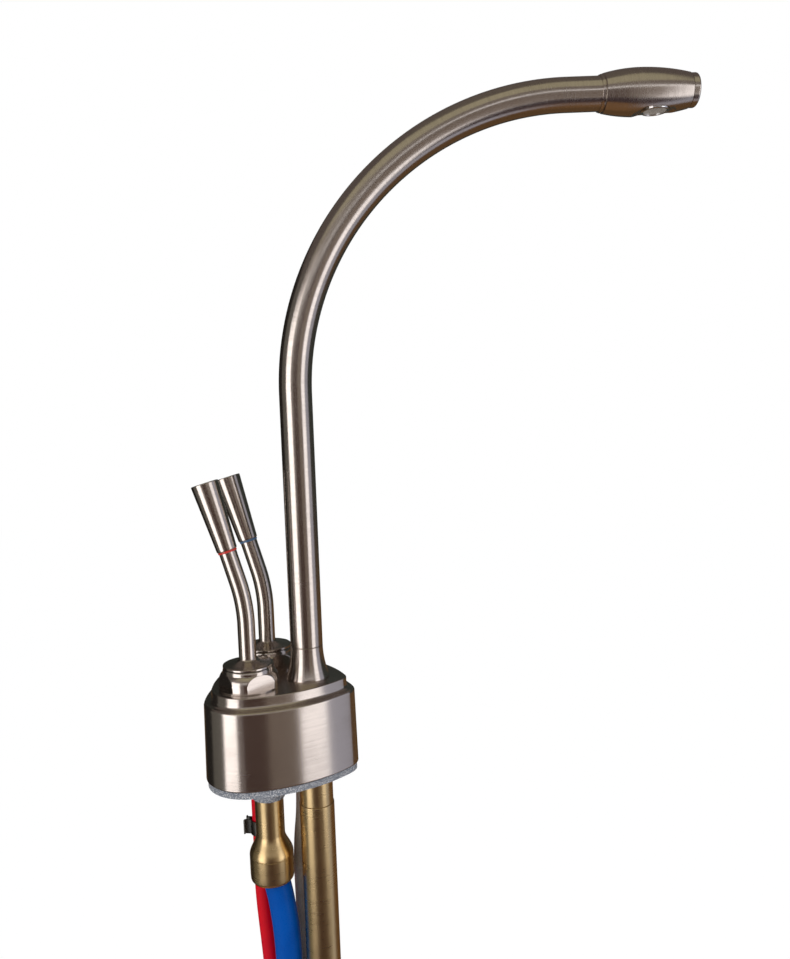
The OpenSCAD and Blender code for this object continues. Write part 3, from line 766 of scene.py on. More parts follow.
@dataclass(frozen=True)
class RoughCasting:
    """Zinc as it comes out of the mould: a dull grey skin, with its sparkle painted in as white glints.
    """

    name: str
    slot: str
    colour: Colour
    # Colour of the painted glints that stand in for the casting's sparkle.
    fleck: Colour
    pit_size: float = 0.8
    pit_depth: float = 0.6
    roughness: Span = (0.3, 0.6)
    metallic: float = 0.4

    def build(self) -> bpy.types.Material:
        """Makes the material: pits give it height and roughness, and painted glints light small spots.

        Returns:
            The material.
        """
        material, graph, shader = new_material(self.name)
        spot = graph.add("ShaderNodeTexCoord")
        cast = graph.add(
            "ShaderNodeGroup", {"Place": spot.outputs["Object"], "Size": self.pit_size * MM},
            node_tree=EFFECTS.cast_skin(),
        )
        pits = cast.outputs["Pits"]
        graph.feed(shader, {
            # The white spots mixed in here are painted glints.
            "Base Color": graph.mix(cast.outputs["Fleck"], self.colour, self.fleck),
            "Roughness": graph.remap(pits, 0.3, 0.7, *self.roughness),
            "Metallic": self.metallic, "Normal": add_bump(graph, pits, self.pit_depth, 1.0),
        })
        return material


@dataclass(frozen=True)
class Moulded:
    """Plastic, rubber or ceramic: one colour with a faint cloudiness, specks and a fine skin."""

    name: str
    slot: str
    colour: Colour
    cloud: Colour
    roughness: Span
    skin_size: float = 0.5
    skin_depth: float = 0.01
    cloud_size: float = 12.0
    cloud_tone: float = 0.6
    coat: float = 0.0
    shine: float = 0.5

    def build(self) -> bpy.types.Material:
        """Makes the material: clouds change its tone, and a fine skin its height and roughness.

        Returns:
            The material.
        """
        material, graph, shader = new_material(self.name)
        spot = graph.add("ShaderNodeTexCoord")
        cloud = add_marks(graph, self.cloud_size).outputs["Smudge"]
        clouded = graph.math("MULTIPLY", cloud, self.cloud_tone)
        skin_scale = 1 / (self.skin_size * MM)
        fine = graph.add("ShaderNodeTexNoise", {
            "Vector": spot.outputs["Object"], "Scale": skin_scale, "Detail": 2.0,
        }).outputs[0]
        graph.feed(shader, {
            "Base Color": graph.mix(clouded, self.colour, self.cloud),
            "Roughness": graph.remap(fine, 0.3, 0.7, *self.roughness),
            "Coat Weight": self.coat, "Specular IOR Level": self.shine,
            "Normal": add_bump(graph, fine, self.skin_depth, 0.6),
        })
        return material


NICKEL: Colour = (0.64, 0.575, 0.53)
NICKEL_DULL: Colour = (0.46, 0.41, 0.37)
SATIN_WIDE = BrushedMetal(
    "satin_nickel_wide", "satin_nickel", NICKEL, NICKEL_DULL, (0.2, 0.27),
    girth=26, along=1500, stretch=0.7,
)
SATIN = BrushedMetal(
    "satin_nickel", "satin_nickel", NICKEL, NICKEL_DULL, (0.2, 0.3),
    girth=9, along=2200, line_tone=0.3,
)
SATIN_BAR = BrushedMetal(
    "satin_nickel_bar", "satin_nickel", NICKEL, NICKEL_DULL, (0.19, 0.27),
    girth=6.4, along=1500, line_tone=0.3,
)
SATIN_LEVER = BrushedMetal(
    "satin_nickel_lever", "satin_nickel", NICKEL, NICKEL_DULL, (0.18, 0.24),
    girth=5, along=1500, line_tone=0.2, depth=0.003,
)
BRASS = BrushedMetal(
    "turned_brass", "brass", (0.74, 0.55, 0.29), (0.5, 0.35, 0.17), (0.24, 0.34),
    girth=7, along=1700, stretch=0.25,
)
CHROME = PlainMetal(
    "bright_chrome", "chrome", (0.82, 0.82, 0.83), (0.7, 0.7, 0.72), (0.04, 0.1),
)
BRASS_PLAIN = PlainMetal(
    "plain_brass", "brass", (0.76, 0.56, 0.28), (0.5, 0.34, 0.14), (0.22, 0.4),
)
STEEL = PlainMetal(
    "plain_steel", "stainless_steel", (0.62, 0.62, 0.63), (0.42, 0.42, 0.43), (0.2, 0.4),
)
SPRING_BLACK = PlainMetal(
    "blackened_spring", "blackened_steel", (0.075, 0.075, 0.07), (0.16, 0.15, 0.13), (0.25, 0.5),
)
# The white is the colour of painted glints: the zinc's sparkle is painted into its colour.
CASTING = RoughCasting(
    "zinc_casting", "cast_zinc", (0.3, 0.33, 0.39), (1.0, 1.0, 1.0), pit_size=0.75,
)
RUBBER = Moulded(
    "black_rubber", "black_rubber", (0.022, 0.022, 0.022), (0.05, 0.05, 0.05), (0.5, 0.7),
)
CERAMIC = Moulded(
    "disc_ceramic", "ceramic", (0.86, 0.84, 0.78), (0.76, 0.73, 0.66), (0.1, 0.2),
)
RED_RING = Moulded(
    "red_ring", "red_marking", (0.62, 0.03, 0.02), (0.42, 0.02, 0.02), (0.25, 0.4), coat=0.3,
)
BLUE_RING = Moulded(
    "blue_ring", "blue_marking", (0.06, 0.14, 0.27), (0.04, 0.09, 0.2), (0.25, 0.4), coat=0.3,
)
GREY_PLASTIC = Moulded(
    "grey_plastic", "grey_plastic", (0.4, 0.35, 0.3), (0.28, 0.24, 0.2), (0.3, 0.45),
)
WHITE_PLASTIC = Moulded(
    "white_plastic", "white_plastic", (0.78, 0.78, 0.75), (0.66, 0.65, 0.6), (0.35, 0.5),
)
RED_TUBE = Moulded(
    "red_silicone", "red_silicone", (0.72, 0.0, 0.012), (0.58, 0.0, 0.018), (0.28, 0.42), shine=0.2,
)
BLUE_TUBE = Moulded(
    "blue_plastic", "blue_plastic", (0.0, 0.085, 0.42), (0.0, 0.06, 0.32), (0.25, 0.38), shine=0.1,
)
# The clear vent tube's dark grey-brown colour and its darker cloud are painted shade: they stand in for
# the tube seen in the shaded gap between bell and shank.
CLEAR_TUBE_PAINTED_SHADE = Moulded(
    "clear_silicone", "clear_silicone", (0.34, 0.29, 0.24), (0.22, 0.17, 0.14), (0.2, 0.35),
)

Finish = BrushedMetal | PlainMetal | RoughCasting | Moulded


class Wardrobe:
    """Builds each finish once and puts finishes on pieces."""

    def __init__(self) -> None:
        """Starts with no material built."""
        self._made: dict[str, bpy.types.Material] = {}

    def material(self, finish: Finish) -> bpy.types.Material:
        """The material of a finish, built when it is first asked for.

        Args:
            finish: The finish.

        Returns:
            The material.
        """
        if finish.name not in self._made:
            self._made[finish.name] = finish.build()
        return self._made[finish.name]

    def dress(self, obj: bpy.types.Object, finish: Finish) -> bpy.types.Object:
        """Gives an object one finish.

        Args:
            obj: The object.
            finish: The finish.

        Returns:
            The same object.
        """
        obj.data.materials.clear()
        obj.data.materials.append(self.material(finish))
        return obj

    def place(self, obj: bpy.types.Object, finish: Finish, body: str, *nodes: str) -> bpy.types.Object:
        """Gives a new piece its finish, its body and the nodes that it stands for.

        Args:
            obj: The piece.
            finish: Its finish.
            body: The body that it rides on.
            nodes: The nodes that it replaces.

        Returns:
            The same piece.
        """
        self.dress(obj, finish)
        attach(obj, body)
        if nodes:
            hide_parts(*nodes)
        LOG.info("%s on %s, %d faces", obj.name, body, len(obj.data.polygons))
        return obj

    def dress_nodes(self, nodes: dict[str, bpy.types.Object], finishes: dict[str, Finish]) -> None:
        """Puts finishes on nodes that keep their own solid.

        Args:
            nodes: All nodes by name.
            finishes: The finish of each node that is dressed.
        """
        for name, finish in finishes.items():
            self.dress(nodes[name], finish)
            LOG.info("%s keeps its solid", name)


# ------------------------------------------------------------------------------------------
# Base
# ------------------------------------------------------------------------------------------


@dataclass
class Layout:
    """The sizes that several sub-assemblies share."""

    valve_x: float = 12.0
    valve_y: float = 10.0
    spout_y: float = 9.0
    deck_z: float = 35.2
    skirt_z: float = 2.6
    wall_top: float = 31.0
    shank_y: float = 10.3
    bell_y: float = 8.5
    spout_turn: float = 12.0

    def valve(self, side: Side) -> Matrix:
        """A valve's axis."""
        return Matrix.Translation((side.value * self.valve_x, self.valve_y, 0))

    def spout(self) -> Matrix:
        """The spout's upright axis, turned to the rest position."""
        turn = Matrix.Rotation(math.radians(self.spout_turn), 4, "Z")
        return Matrix.Translation((0, -self.spout_y, 0)) @ turn


@dataclass
class BaseCover:
    """The rounded-triangle cover with its shoulder, cove and raised deck."""

    layout: Layout
    rear_r: float = 17.0
    front_r: float = 8.4
    front_ahead: float = 9.5
    side_bow: float = 53.0
    back_bow: float = 60.0
    draft: float = 0.5
    deck_in: float = 3.4
    cove: float = 1.5
    wall: float = 1.25
    lip_top: float = 6.8
    deck_middle_y: float = 2.0
    arc_steps: int = 26

    def outline(self, inset: float) -> list[Vector]:
        """The cover's plan, moved in by a distance.

        Args:
            inset: How far in.

        Returns:
            Points at z = 0, anticlockwise from the front.
        """
        front = Vector((0, -self.layout.spout_y - self.front_ahead))
        right = Vector((self.layout.valve_x, self.layout.valve_y))
        left = Vector((-right.x, right.y))
        corners = [(front, self.front_r), (right, self.rear_r), (left, self.rear_r)]
        bows = [self.side_bow, self.back_bow, self.side_bow]
        centres = []
        for i, bow in enumerate(bows):
            (a, ra), (b, rb) = corners[i], corners[(i + 1) % 3]
            run = b - a
            reach = (run.length_squared + (bow - ra) ** 2 - (bow - rb) ** 2) / (2 * run.length)
            rise = math.sqrt((bow - ra) ** 2 - reach ** 2)
            centres.append(a + run.normalized() * reach + Vector((-run.y, run.x)).normalized() * rise)
        points: list[Vector] = []
        for i, bow in enumerate(bows):
            centre, (a, _), (b, rb) = centres[i], corners[i], corners[(i + 1) % 3]
            start, end = angle_to(centre, a), angle_to(centre, b)
            turn = (end - start) % (2 * math.pi)
            points += ring_arc(centre, bow - inset, start, turn, self.arc_steps)
            leave = angle_to(centres[(i + 1) % 3], b)
            points += ring_arc(b, rb - inset, end, (leave - end) % (2 * math.pi), self.arc_steps)
        return points

    def build(self, wardrobe: Wardrobe) -> None:
        """Makes the cover as one skin from inside its lower lip to the middle of its deck.

        Args:
            wardrobe: Gives the finishes.
        """
        lay = self.layout
        foot = self.deck_in - self.cove
        cove = [
            (foot + self.cove * math.sin(a), lay.wall_top + self.cove * (1 - math.cos(a)))
            for a in (math.radians(9 * k) for k in range(11))
        ]
        section = rounded([
            Corner(self.wall, self.lip_top), Corner(self.wall, lay.skirt_z, 0.2),
            Corner(0, lay.skirt_z, 0.4), Corner(self.draft, lay.wall_top, 1.1), Corner(*cove[0]),
        ])[:-1] + cove[:-1] + rounded([
            Corner(*cove[-1]), Corner(self.deck_in, lay.deck_z, 0.35),
            Corner(self.deck_in + 1.6, lay.deck_z),
        ])
        rings = [[Vector((p.x, p.y, z)) for p in self.outline(inset)] for inset, z in section]
        middle = Vector((0, self.deck_middle_y, lay.deck_z))
        edge = rings[-1]
        for share in (0.75, 0.5, 0.25):
            rings.append([middle + (p - middle) * share for p in edge])
        rings.append([middle])
        wardrobe.place(skin("base_cover", rings), SATIN_WIDE, "base", "body_shell")


@dataclass
class Bonnet:
    """A domed bonnet with four spanner flats, set on the diagonals."""

    layout: Layout
    side: Side
    foot_r: float = 10.9
    height: float = 7.6
    flat: float = 9.4
    foot: float = 0.5
    dome_from: float = 2.4
    dome_top: float = 6.08
    dome_r: float = 9.5
    dome_bulge: float = 0.42
    crown_r: float = 9.0
    socket_r: float = 5.0
    socket_depth: float = 0.6

    def limit(self, r: float, z: float, angle: float) -> float:
        """The radius that the flats leave at an angle.

        Args:
            r: The radius without the flats.
            z: The height.
            angle: The angle in radians.

        Returns:
            The radius.
        """
        if z < self.layout.deck_z + self.foot or r < self.socket_r - 1:
            return r
        off = angle % (math.pi / 2) - math.pi / 4
        return min(r, self.flat / math.cos(off))

    def build(self, wardrobe: Wardrobe) -> None:
        """Makes the bonnet, with a fine ledge where its side ends.

        Args:
            wardrobe: Gives the finishes.
        """
        z = self.layout.deck_z
        r, top, ledge = self.foot_r, z + self.height, z + self.dome_top
        socket = top - self.socket_depth
        dome = arc_between(r - 0.04, z + self.dome_from, self.dome_r, ledge, self.dome_bulge, 28)
        section = [
            (r - 0.9, z - 0.4), (r - 0.1, z - 0.02), (r, z + 0.08), (r, z + self.foot - 0.01),
            (r, z + self.foot), (r - 0.02, z + 1.6), *dome,
            (self.dome_r - 0.08, ledge + 0.05), (self.dome_r - 0.16, ledge + 0.07),
            (self.dome_r - 0.2, ledge + 0.16),
            *arc_between(self.dome_r - 0.22, ledge + 0.32, self.crown_r, top, 0.1, 8),
            (self.crown_r - 0.2, top), (self.socket_r, top), (self.socket_r, socket), (0.0, socket),
        ]
        word, place = self.side.word, self.layout.valve(self.side)
        obj = turned(f"{word}_bonnet_dome", section, place, 288, limit=self.limit, sharp_deg=24)
        wardrobe.place(obj, SATIN_LEVER, "base", f"{word}_bonnet")


# ------------------------------------------------------------------------------------------
# Levers
# ------------------------------------------------------------------------------------------


@dataclass
class Lever:
    """A lever: cap, bent rod, coloured ring and tapered grip."""

    layout: Layout
    side: Side
    cap_r: float = 9.15
    cap_z: float = 43.1
    cap_h: float = 2.6
    rod_r: float = 3.175
    upright: float = 14.9
    bend_r: float = 56.0
    bend_deg: float = 16.5
    to_ring: float = 11.2
    ring_t: float = 0.8
    ring_proud: float = 0.27
    in_cap: float = 1.3
    in_grip: float = 8.0
    grip_l: float = 25.4
    grip_r1: float = 3.7
    grip_r2: float = 5.0

    def bend(self, degrees: float) -> Matrix:
        """A frame on the rod's bend, so many degrees from its start.

        Args:
            degrees: How far along the bend.

        Returns:
            The frame.
        """
        a = math.radians(degrees)
        z = self.cap_z + self.upright
        y = self.bend_r * (1 - math.cos(a))
        spot = Matrix.Translation((0, y, z + self.bend_r * math.sin(a)))
        return self.layout.valve(self.side) @ spot @ Matrix.Rotation(-a, 4, "X")

    def cap(self, wardrobe: Wardrobe) -> None:
        """Makes the low cone, with a fine rim and a small fillet up to the rod.

        Args:
            wardrobe: Gives the finishes.
        """
        z, top = self.cap_z, self.cap_z + self.cap_h
        cone = arc_between(self.cap_r - 0.75, z + 0.92, self.rod_r + 0.75, top - 0.5, -0.16, 14)
        section = [(0, z)] + rounded([
            Corner(3.0, z), Corner(self.cap_r, z, 0.14), Corner(self.cap_r, z + 0.72, 0.22),
            Corner(*cone[0]),
        ])[:-1] + cone + [
            (self.rod_r + 0.5, top - 0.33), (self.rod_r + 0.33, top - 0.12),
            (self.rod_r + 0.28, top), (0, top),
        ]
        obj = turned(f"{self.side.word}_cap", section, self.layout.valve(self.side), 160)
        wardrobe.place(obj, SATIN_LEVER, self.side.body, f"{self.side.word}_lever_cap")

    def rod(self, wardrobe: Wardrobe) -> None:
        """Makes the bent rod, from the cap into the grip.

        Args:
            wardrobe: Gives the finishes.
        """
        low, high = self.cap_z + self.in_cap, self.cap_z + self.upright
        base = self.layout.valve(self.side)
        frames = [base @ lifted(low + (high - low) * k / 12) for k in range(12)]
        frames += [self.bend(self.bend_deg * k / 24) for k in range(25)]
        tip = self.bend(self.bend_deg)
        frames += [tip @ lifted(self.to_ring * k / 6) for k in range(1, 7)]
        frames.append(tip @ lifted(self.to_ring + self.ring_t + self.in_grip))
        obj = swept(f"{self.side.word}_rod", frames, [self.rod_r] * len(frames), 72)
        wardrobe.place(obj, SATIN_LEVER, self.side.body, f"{self.side.word}_lever_rod")

    def ring(self, wardrobe: Wardrobe) -> None:
        """Makes the thin coloured ring between rod and grip.

        Args:
            wardrobe: Gives the finishes.
        """
        place = self.bend(self.bend_deg) @ lifted(self.to_ring)
        inner, outer, top = self.rod_r + 0.02, self.rod_r + self.ring_proud, self.ring_t - 0.02
        section = rounded([
            Corner(inner, 0.4), Corner(inner, 0.02), Corner(outer, 0.02, 0.18),
            Corner(outer, top, 0.18), Corner(inner, top),
        ])
        obj = turned(f"{self.side.word}_marking", section, place, 96, loop=True)
        finish = RED_RING if self.side is Side.HOT else BLUE_RING
        wardrobe.place(obj, finish, self.side.body, f"{self.side.word}_ring")

    def grip(self, wardrobe: Wardrobe) -> None:
        """Makes the tapered grip, with a crisp rounded edge at its flat top.

        Args:
            wardrobe: Gives the finishes.
        """
        place = self.bend(self.bend_deg) @ lifted(self.to_ring + self.ring_t + 0.05)
        section = rounded([
            Corner(0, 0), Corner(self.grip_r1, 0, 0.3), Corner(self.grip_r2, self.grip_l, 0.35),
            Corner(0, self.grip_l),
        ])
        obj = turned(f"{self.side.word}_grip_body", section, place, 144)
        wardrobe.place(obj, SATIN_LEVER, self.side.body, f"{self.side.word}_grip")

    def build(self, wardrobe: Wardrobe) -> None:
        """Makes the whole lever.

        Args:
            wardrobe: Gives the finishes.
        """
        self.cap(wardrobe)
        self.rod(wardrobe)
        self.ring(wardrobe)
        self.grip(wardrobe)


# ------------------------------------------------------------------------------------------
# Spout
# ------------------------------------------------------------------------------------------


@dataclass
class Spout:
    """The flared collar, the gooseneck, and the outlet head with its plug and aerator."""

    layout: Layout
    collar_h: float = 12.1
    collar_r: float = 8.0
    tube_r: float = 6.0
    bend_start: float = 140.5
    bend_r: float = 104.0
    bend_deg: float = 88.6
    straight: float = 13.0
    joint_gap: float = 0.15
    in_head: float = 4.0
    head_r: float = 8.3
    head_r1: float = 6.7
    head_r2: float = 6.2
    head_l: float = 32.1
    belly: float = 13.5
    aerator_at: float = 19.6
    recess_r: float = 6.8
    recess_roof: float = 6.5
    recess_flare: float = 1.3
    aerator_r: float = 5.1
    aerator_low: float = 7.1
    plug_l: float = 2.5

    def bend(self, degrees: float) -> Matrix:
        """A frame on the gooseneck's bend, so many degrees from its start.

        Args:
            degrees: How far along the bend.

        Returns:
            The frame.
        """
        a = math.radians(degrees)
        y = -self.bend_r * (1 - math.cos(a))
        spot = Matrix.Translation((0, y, self.bend_start + self.bend_r * math.sin(a)))
        return self.layout.spout() @ spot @ Matrix.Rotation(a, 4, "X")

    def head_place(self) -> Matrix:
        """The head's frame: z runs away from the spout and y is up."""
        return self.bend(self.bend_deg) @ lifted(self.straight)

    def aerator_place(self) -> Matrix:
        """The aerator's frame: z runs down out of the head."""
        turn = Matrix.Rotation(math.radians(90), 4, "X")
        return self.head_place() @ lifted(self.aerator_at) @ turn

    def collar(self, wardrobe: Wardrobe) -> None:
        """Makes the collar: a concave flare that ends upright under the joint line.

        Args:
            wardrobe: Gives the finishes.
        """
        z, top = self.layout.deck_z, self.layout.deck_z + self.collar_h
        rise, flare = self.collar_h - 0.5, self.collar_r - self.tube_r
        radius = (rise * rise + flare * flare) / (2 * flare)
        side = [
            (self.tube_r + radius - math.sqrt(radius ** 2 - (self.collar_h - h) ** 2), z + h)
            for h in (0.5 + (rise - 0.12) * k / 26 for k in range(27))
        ]
        section = [
            (0, z - 0.5), (self.collar_r - 0.1, z - 0.02), (self.collar_r, z + 0.1), *side,
            (self.tube_r - 0.12, top), (0, top),
        ]
        place = Matrix.Translation((0, -self.layout.spout_y, 0))
        wardrobe.place(turned("collar_flare", section, place, 160), SATIN_BAR, "base", "spout_collar")

    def gooseneck(self, wardrobe: Wardrobe) -> None:
        """Makes the bent tube, with a fine chamfer at its lower end.

        Args:
            wardrobe: Gives the finishes.
        """
        low = self.layout.deck_z + self.collar_h + self.joint_gap
        start = low + 0.2
        base = self.layout.spout()
        frames = [base @ lifted(low), base @ lifted(low + 0.12)]
        radii = [self.tube_r - 0.12, self.tube_r]
        frames += [base @ lifted(start + (self.bend_start - start) * k / 40) for k in range(40)]
        frames += [self.bend(self.bend_deg * k / 120) for k in range(121)]
        end = self.bend(self.bend_deg)
        frames += [end @ lifted(self.straight * k / 8) for k in range(1, 9)]
        frames.append(end @ lifted(self.straight + self.in_head))
        radii += [self.tube_r] * (len(frames) - 2)
        wardrobe.place(swept("gooseneck", frames, radii, 112), SATIN_BAR, "spout", "spout_tube")

    def barrel(self, s: float) -> float:
        """The head's radius at a distance from its spout end.

        Args:
            s: The distance.

        Returns:
            The radius.
        """
        end, reach = self.head_r1, self.belly
        if s >= self.belly:
            end, reach = self.head_r2, self.head_l - self.belly
        drop = self.head_r - end
        radius = (reach * reach + drop * drop) / (2 * drop)
        return self.head_r - radius + math.sqrt(radius * radius - (s - self.belly) ** 2)

    def head(self, wardrobe: Wardrobe) -> None:
        """Makes the barrel-shaped head, cut flat underneath where the aerator sits.

        Args:
            wardrobe: Gives the finishes.
        """
        side = [(self.barrel(s), s) for s in (0.35 + (self.head_l - 0.45) * k / 60 for k in range(61))]
        t = self.tube_r
        section = [
            (0, -0.2), (t + 0.05, -1.2), (t + 0.3, -1.14), (t + 0.55, -0.45), (t + 0.55, -0.3),
            (t + 0.25, -0.12), (t + 0.25, 0.0), (self.head_r1 - 0.12, 0.2), *side,
            (self.head_r2 - 0.12, self.head_l), (0, self.head_l),
        ]
        obj = turned("outlet_barrel", section, self.head_place(), 192)
        down = self.aerator_place()
        roof, r = self.recess_roof, self.recess_r
        outer, clear = r + self.recess_flare * 4, 14.0
        flared = [(0, roof), (r, roof), (outer, roof + 4), (outer, clear), (0, clear)]
        bore_r, bore_roof, bore_end = self.aerator_r + 0.04, 3.2, 9.0
        straight = [(0, bore_roof), (bore_r, bore_roof), (bore_r, bore_end), (0, bore_end)]
        recess = turned("recess_tool", flared, down, 128)
        bore = turned("bore_tool", straight, down, 128)
        cut(obj, [recess, bore])
        wardrobe.place(obj, SATIN, "spout", "outlet_head")

    def plug(self, wardrobe: Wardrobe) -> None:
        """Makes the end plug, with a seam line against the head and a soft outer edge.

        Args:
            wardrobe: Gives the finishes.
        """
        place = self.head_place() @ lifted(self.head_l)
        r, seam = self.head_r2 - 0.25, 0.2
        end = seam + self.plug_l
        section = [(0, -1.0), (r - 0.6, -1.0), (r - 0.6, seam)] + rounded([
            Corner(r - 0.6, seam), Corner(r, seam, 0.1), Corner(r, end, 0.75), Corner(0, end),
        ])
        wardrobe.place(turned("end_plug", section, place, 144), SATIN, "spout", "outlet_plug")

    def aerator(self, wardrobe: Wardrobe) -> None:
        """Makes the bright ring of the aerator, with a rolled lip.

        Args:
            wardrobe: Gives the finishes.
        """
        inner, low = self.aerator_r - 1, self.aerator_low
        section = rounded([
            Corner(inner, low - 1.3), Corner(inner - 0.5, low - 1.4), Corner(inner - 0.5, 3.05),
            Corner(self.aerator_r - 0.02, 3.05), Corner(self.aerator_r - 0.02, low, 0.4),
            Corner(inner, low, 0.3), Corner(inner, low - 1.25),
        ])
        obj = turned("aerator_ring", section, self.aerator_place(), 128, loop=True)
        wardrobe.place(obj, CHROME, "spout", "aerator_housing")

    def build(self, wardrobe: Wardrobe) -> None:
        """Makes the whole spout.

        Args:
            wardrobe: Gives the finishes.
        """
        self.collar(wardrobe)
        self.gooseneck(wardrobe)
        self.head(wardrobe)
        self.plug(wardrobe)
        self.aerator(wardrobe)


# ------------------------------------------------------------------------------------------
# Under the sink
# ------------------------------------------------------------------------------------------


@dataclass
class Fittings:
    """The brass shank, its sleeve, and the bell fitting."""

    layout: Layout
    shank_r: float = 6.6
    shank_bore_r: float = 5.1
    shank_l: float = 115.0
    sleeve_r: float = 6.3
    sleeve_l: float = 13.5
    neck_r: float = 5.5
    bell_r: float = 8.4
    bell_l: float = 45.0
    cup: float = 10.0
    cone: float = 8.4
    above: float = 4.0

    def shank(self, wardrobe: Wardrobe) -> None:
        """Makes the long shank tube, chamfered at both ends.

        Args:
            wardrobe: Gives the finishes.
        """
        place = Matrix.Translation((0, -self.layout.shank_y, 0))
        r, bore, top, low = self.shank_r, self.shank_bore_r, -self.sleeve_l, -self.shank_l
        section = rounded([
            Corner(bore, top - 2), Corner(bore, top - 0.02), Corner(r, top - 0.02, 0.25),
            Corner(r, low, 0.5), Corner(bore, low, 0.3), Corner(bore, top - 2.1),
        ])
        obj = turned("shank_tube", section, place, 144, loop=True)
        wardrobe.place(obj, BRASS, "base", "mounting_shank")

    def sleeve(self, wardrobe: Wardrobe) -> None:
        """Makes the short sleeve above the shank.

        Args:
            wardrobe: Gives the finishes.
        """
        place = Matrix.Translation((0, -self.layout.shank_y, 0))
        r, low = self.sleeve_r, -self.sleeve_l
        tail_r, tail_bore_r, tail_end = 5.0, 3.1, low - 9.9
        section = [(0, self.above)] + rounded([
            Corner(tail_r, self.above), Corner(r, self.above, 0.3), Corner(r, low, 0.15),
            Corner(tail_r, low), Corner(tail_r, tail_end, 0.3), Corner(tail_bore_r, tail_end),
        ]) + [(tail_bore_r, low - 3), (0, low - 3)]
        wardrobe.place(turned("shank_top_sleeve", section, place, 144), BRASS, "base", "shank_sleeve")

    def bell(self, wardrobe: Wardrobe) -> None:
        """Makes the bell fitting: neck, cone and rounded cup, open below.

        Args:
            wardrobe: Gives the finishes.
        """
        place = Matrix.Translation((0, self.layout.bell_y, 0))
        low, top = -self.bell_l, self.above
        cup_top = low + self.cup
        cone_top = cup_top + self.cone
        r, inner = self.bell_r - 0.02, self.bell_r - 1.15
        neck, reach = self.neck_r - 0.02, self.cone - 0.4
        rise = [
            (neck + (r - neck) * share * share * (3 - 2 * share), cone_top - reach * share)
            for share in (k / 24 for k in range(1, 25))
        ]
        section = [(0, top), (3.5, top), (neck - 0.15, top), (neck, top - 0.15), (neck, cone_top), *rise]
        section += rounded([
            Corner(r, cup_top + 0.3), Corner(r, cup_top + 0.1), Corner(r - 0.1, cup_top),
            Corner(r, cup_top - 0.1), Corner(r, low + 3), Corner(r - 0.18, low, 1.4),
            Corner(inner, low, 0.25), Corner(inner, cup_top - 1),
        ], 10) + [(0, cup_top - 0.5)]
        wardrobe.place(turned("bell_body", section, place, 144), BRASS, "base", "bell_fitting")

    def build(self, wardrobe: Wardrobe) -> None:
        """Makes the brass pieces.

        Args:
            wardrobe: Gives the finishes.
        """
        self.shank(wardrobe)
        self.sleeve(wardrobe)
        self.bell(wardrobe)


@dataclass
class SupplyTube:
    """A hanging supply tube. Its route is the same as the solid's."""

    name: str
    node: str
    radius: float
    finish: Finish
    far_end: str
    stiffness: str
    route: Sequence[Place]

    def build(self, wardrobe: Wardrobe, fittings: Sequence[bpy.types.Object]) -> None:
        """Args:
            wardrobe: Gives the finish.
            fittings: The pieces that are on the tube; not used.
        """
        line = smooth_line([Vector(p) for p in self.route], 5)
        frames = carried_frames(line)
        obj = swept(self.name, frames, [self.radius] * len(frames), 40)
        wardrobe.place(obj, self.finish, "base", self.node)


HOT_ROUTE: list[Place] = [
    (9.5, 15.6, -1), (9.5, 15.6, -12), (9.6, 15.6, -24), (9.6, 15.6, -36), (9.7, 15.9, -48),
    (9.9, 15.7, -60), (10.1, 15, -72), (10.4, 14.3, -84), (10.8, 13.7, -98), (11.3, 13.3, -114),
    (11.8, 13.2, -132), (12.2, 13.4, -150), (12.4, 13.8, -168), (12.4, 14.3, -186),
    (12.2, 14.9, -204), (11.9, 15.5, -222), (11.6, 16, -240), (11.4, 16.3, -258),
    (11.3, 16.5, -276), (11.3, 16.5, -294), (11.3, 16.4, -312),
]
COLD_ROUTE: list[Place] = [
    (0, 8.2, -36), (0, 7.7, -41), (0, 6.8, -46.5), (0, 5.7, -52), (0, 4.7, -59), (0, 4, -66),
    (0, 3.6, -74), (-0.1, 3.4, -85), (-0.3, 3.4, -98), (-0.7, 3.8, -114), (-1.2, 4.7, -132),
    (-1.8, 6, -152), (-2.3, 7.4, -172), (-2.8, 8.6, -192), (-3.2, 9.6, -212),
    (-3.5, 10.3, -232), (-3.7, 10.8, -252), (-3.8, 11.1, -272), (-3.9, 11.3, -292),
    (-3.9, 11.4, -312), (-3.9, 11.4, -334),
]
VENT_ROUTE: list[Place] = [
    (8, -3.3, -1), (8, -3.3, -12), (8.1, -2.8, -22), (8.5, -1.6, -32), (8.8, -0.9, -42),
    (9, -0.8, -53), (9.1, -0.9, -65), (9.3, -0.8, -80), (9.7, -0.6, -97), (10.2, -0.5, -114),
    (10.6, -0.6, -132), (11, -0.9, -150), (11.3, -1.5, -168), (11.4, -2.2, -186),
    (11.3, -2.8, -204), (11.1, -3.4, -222), (10.9, -3.8, -240), (10.7, -4, -258),
    (10.6, -4.1, -276), (10.6, -4.1, -294), (10.6, -4, -312),
]


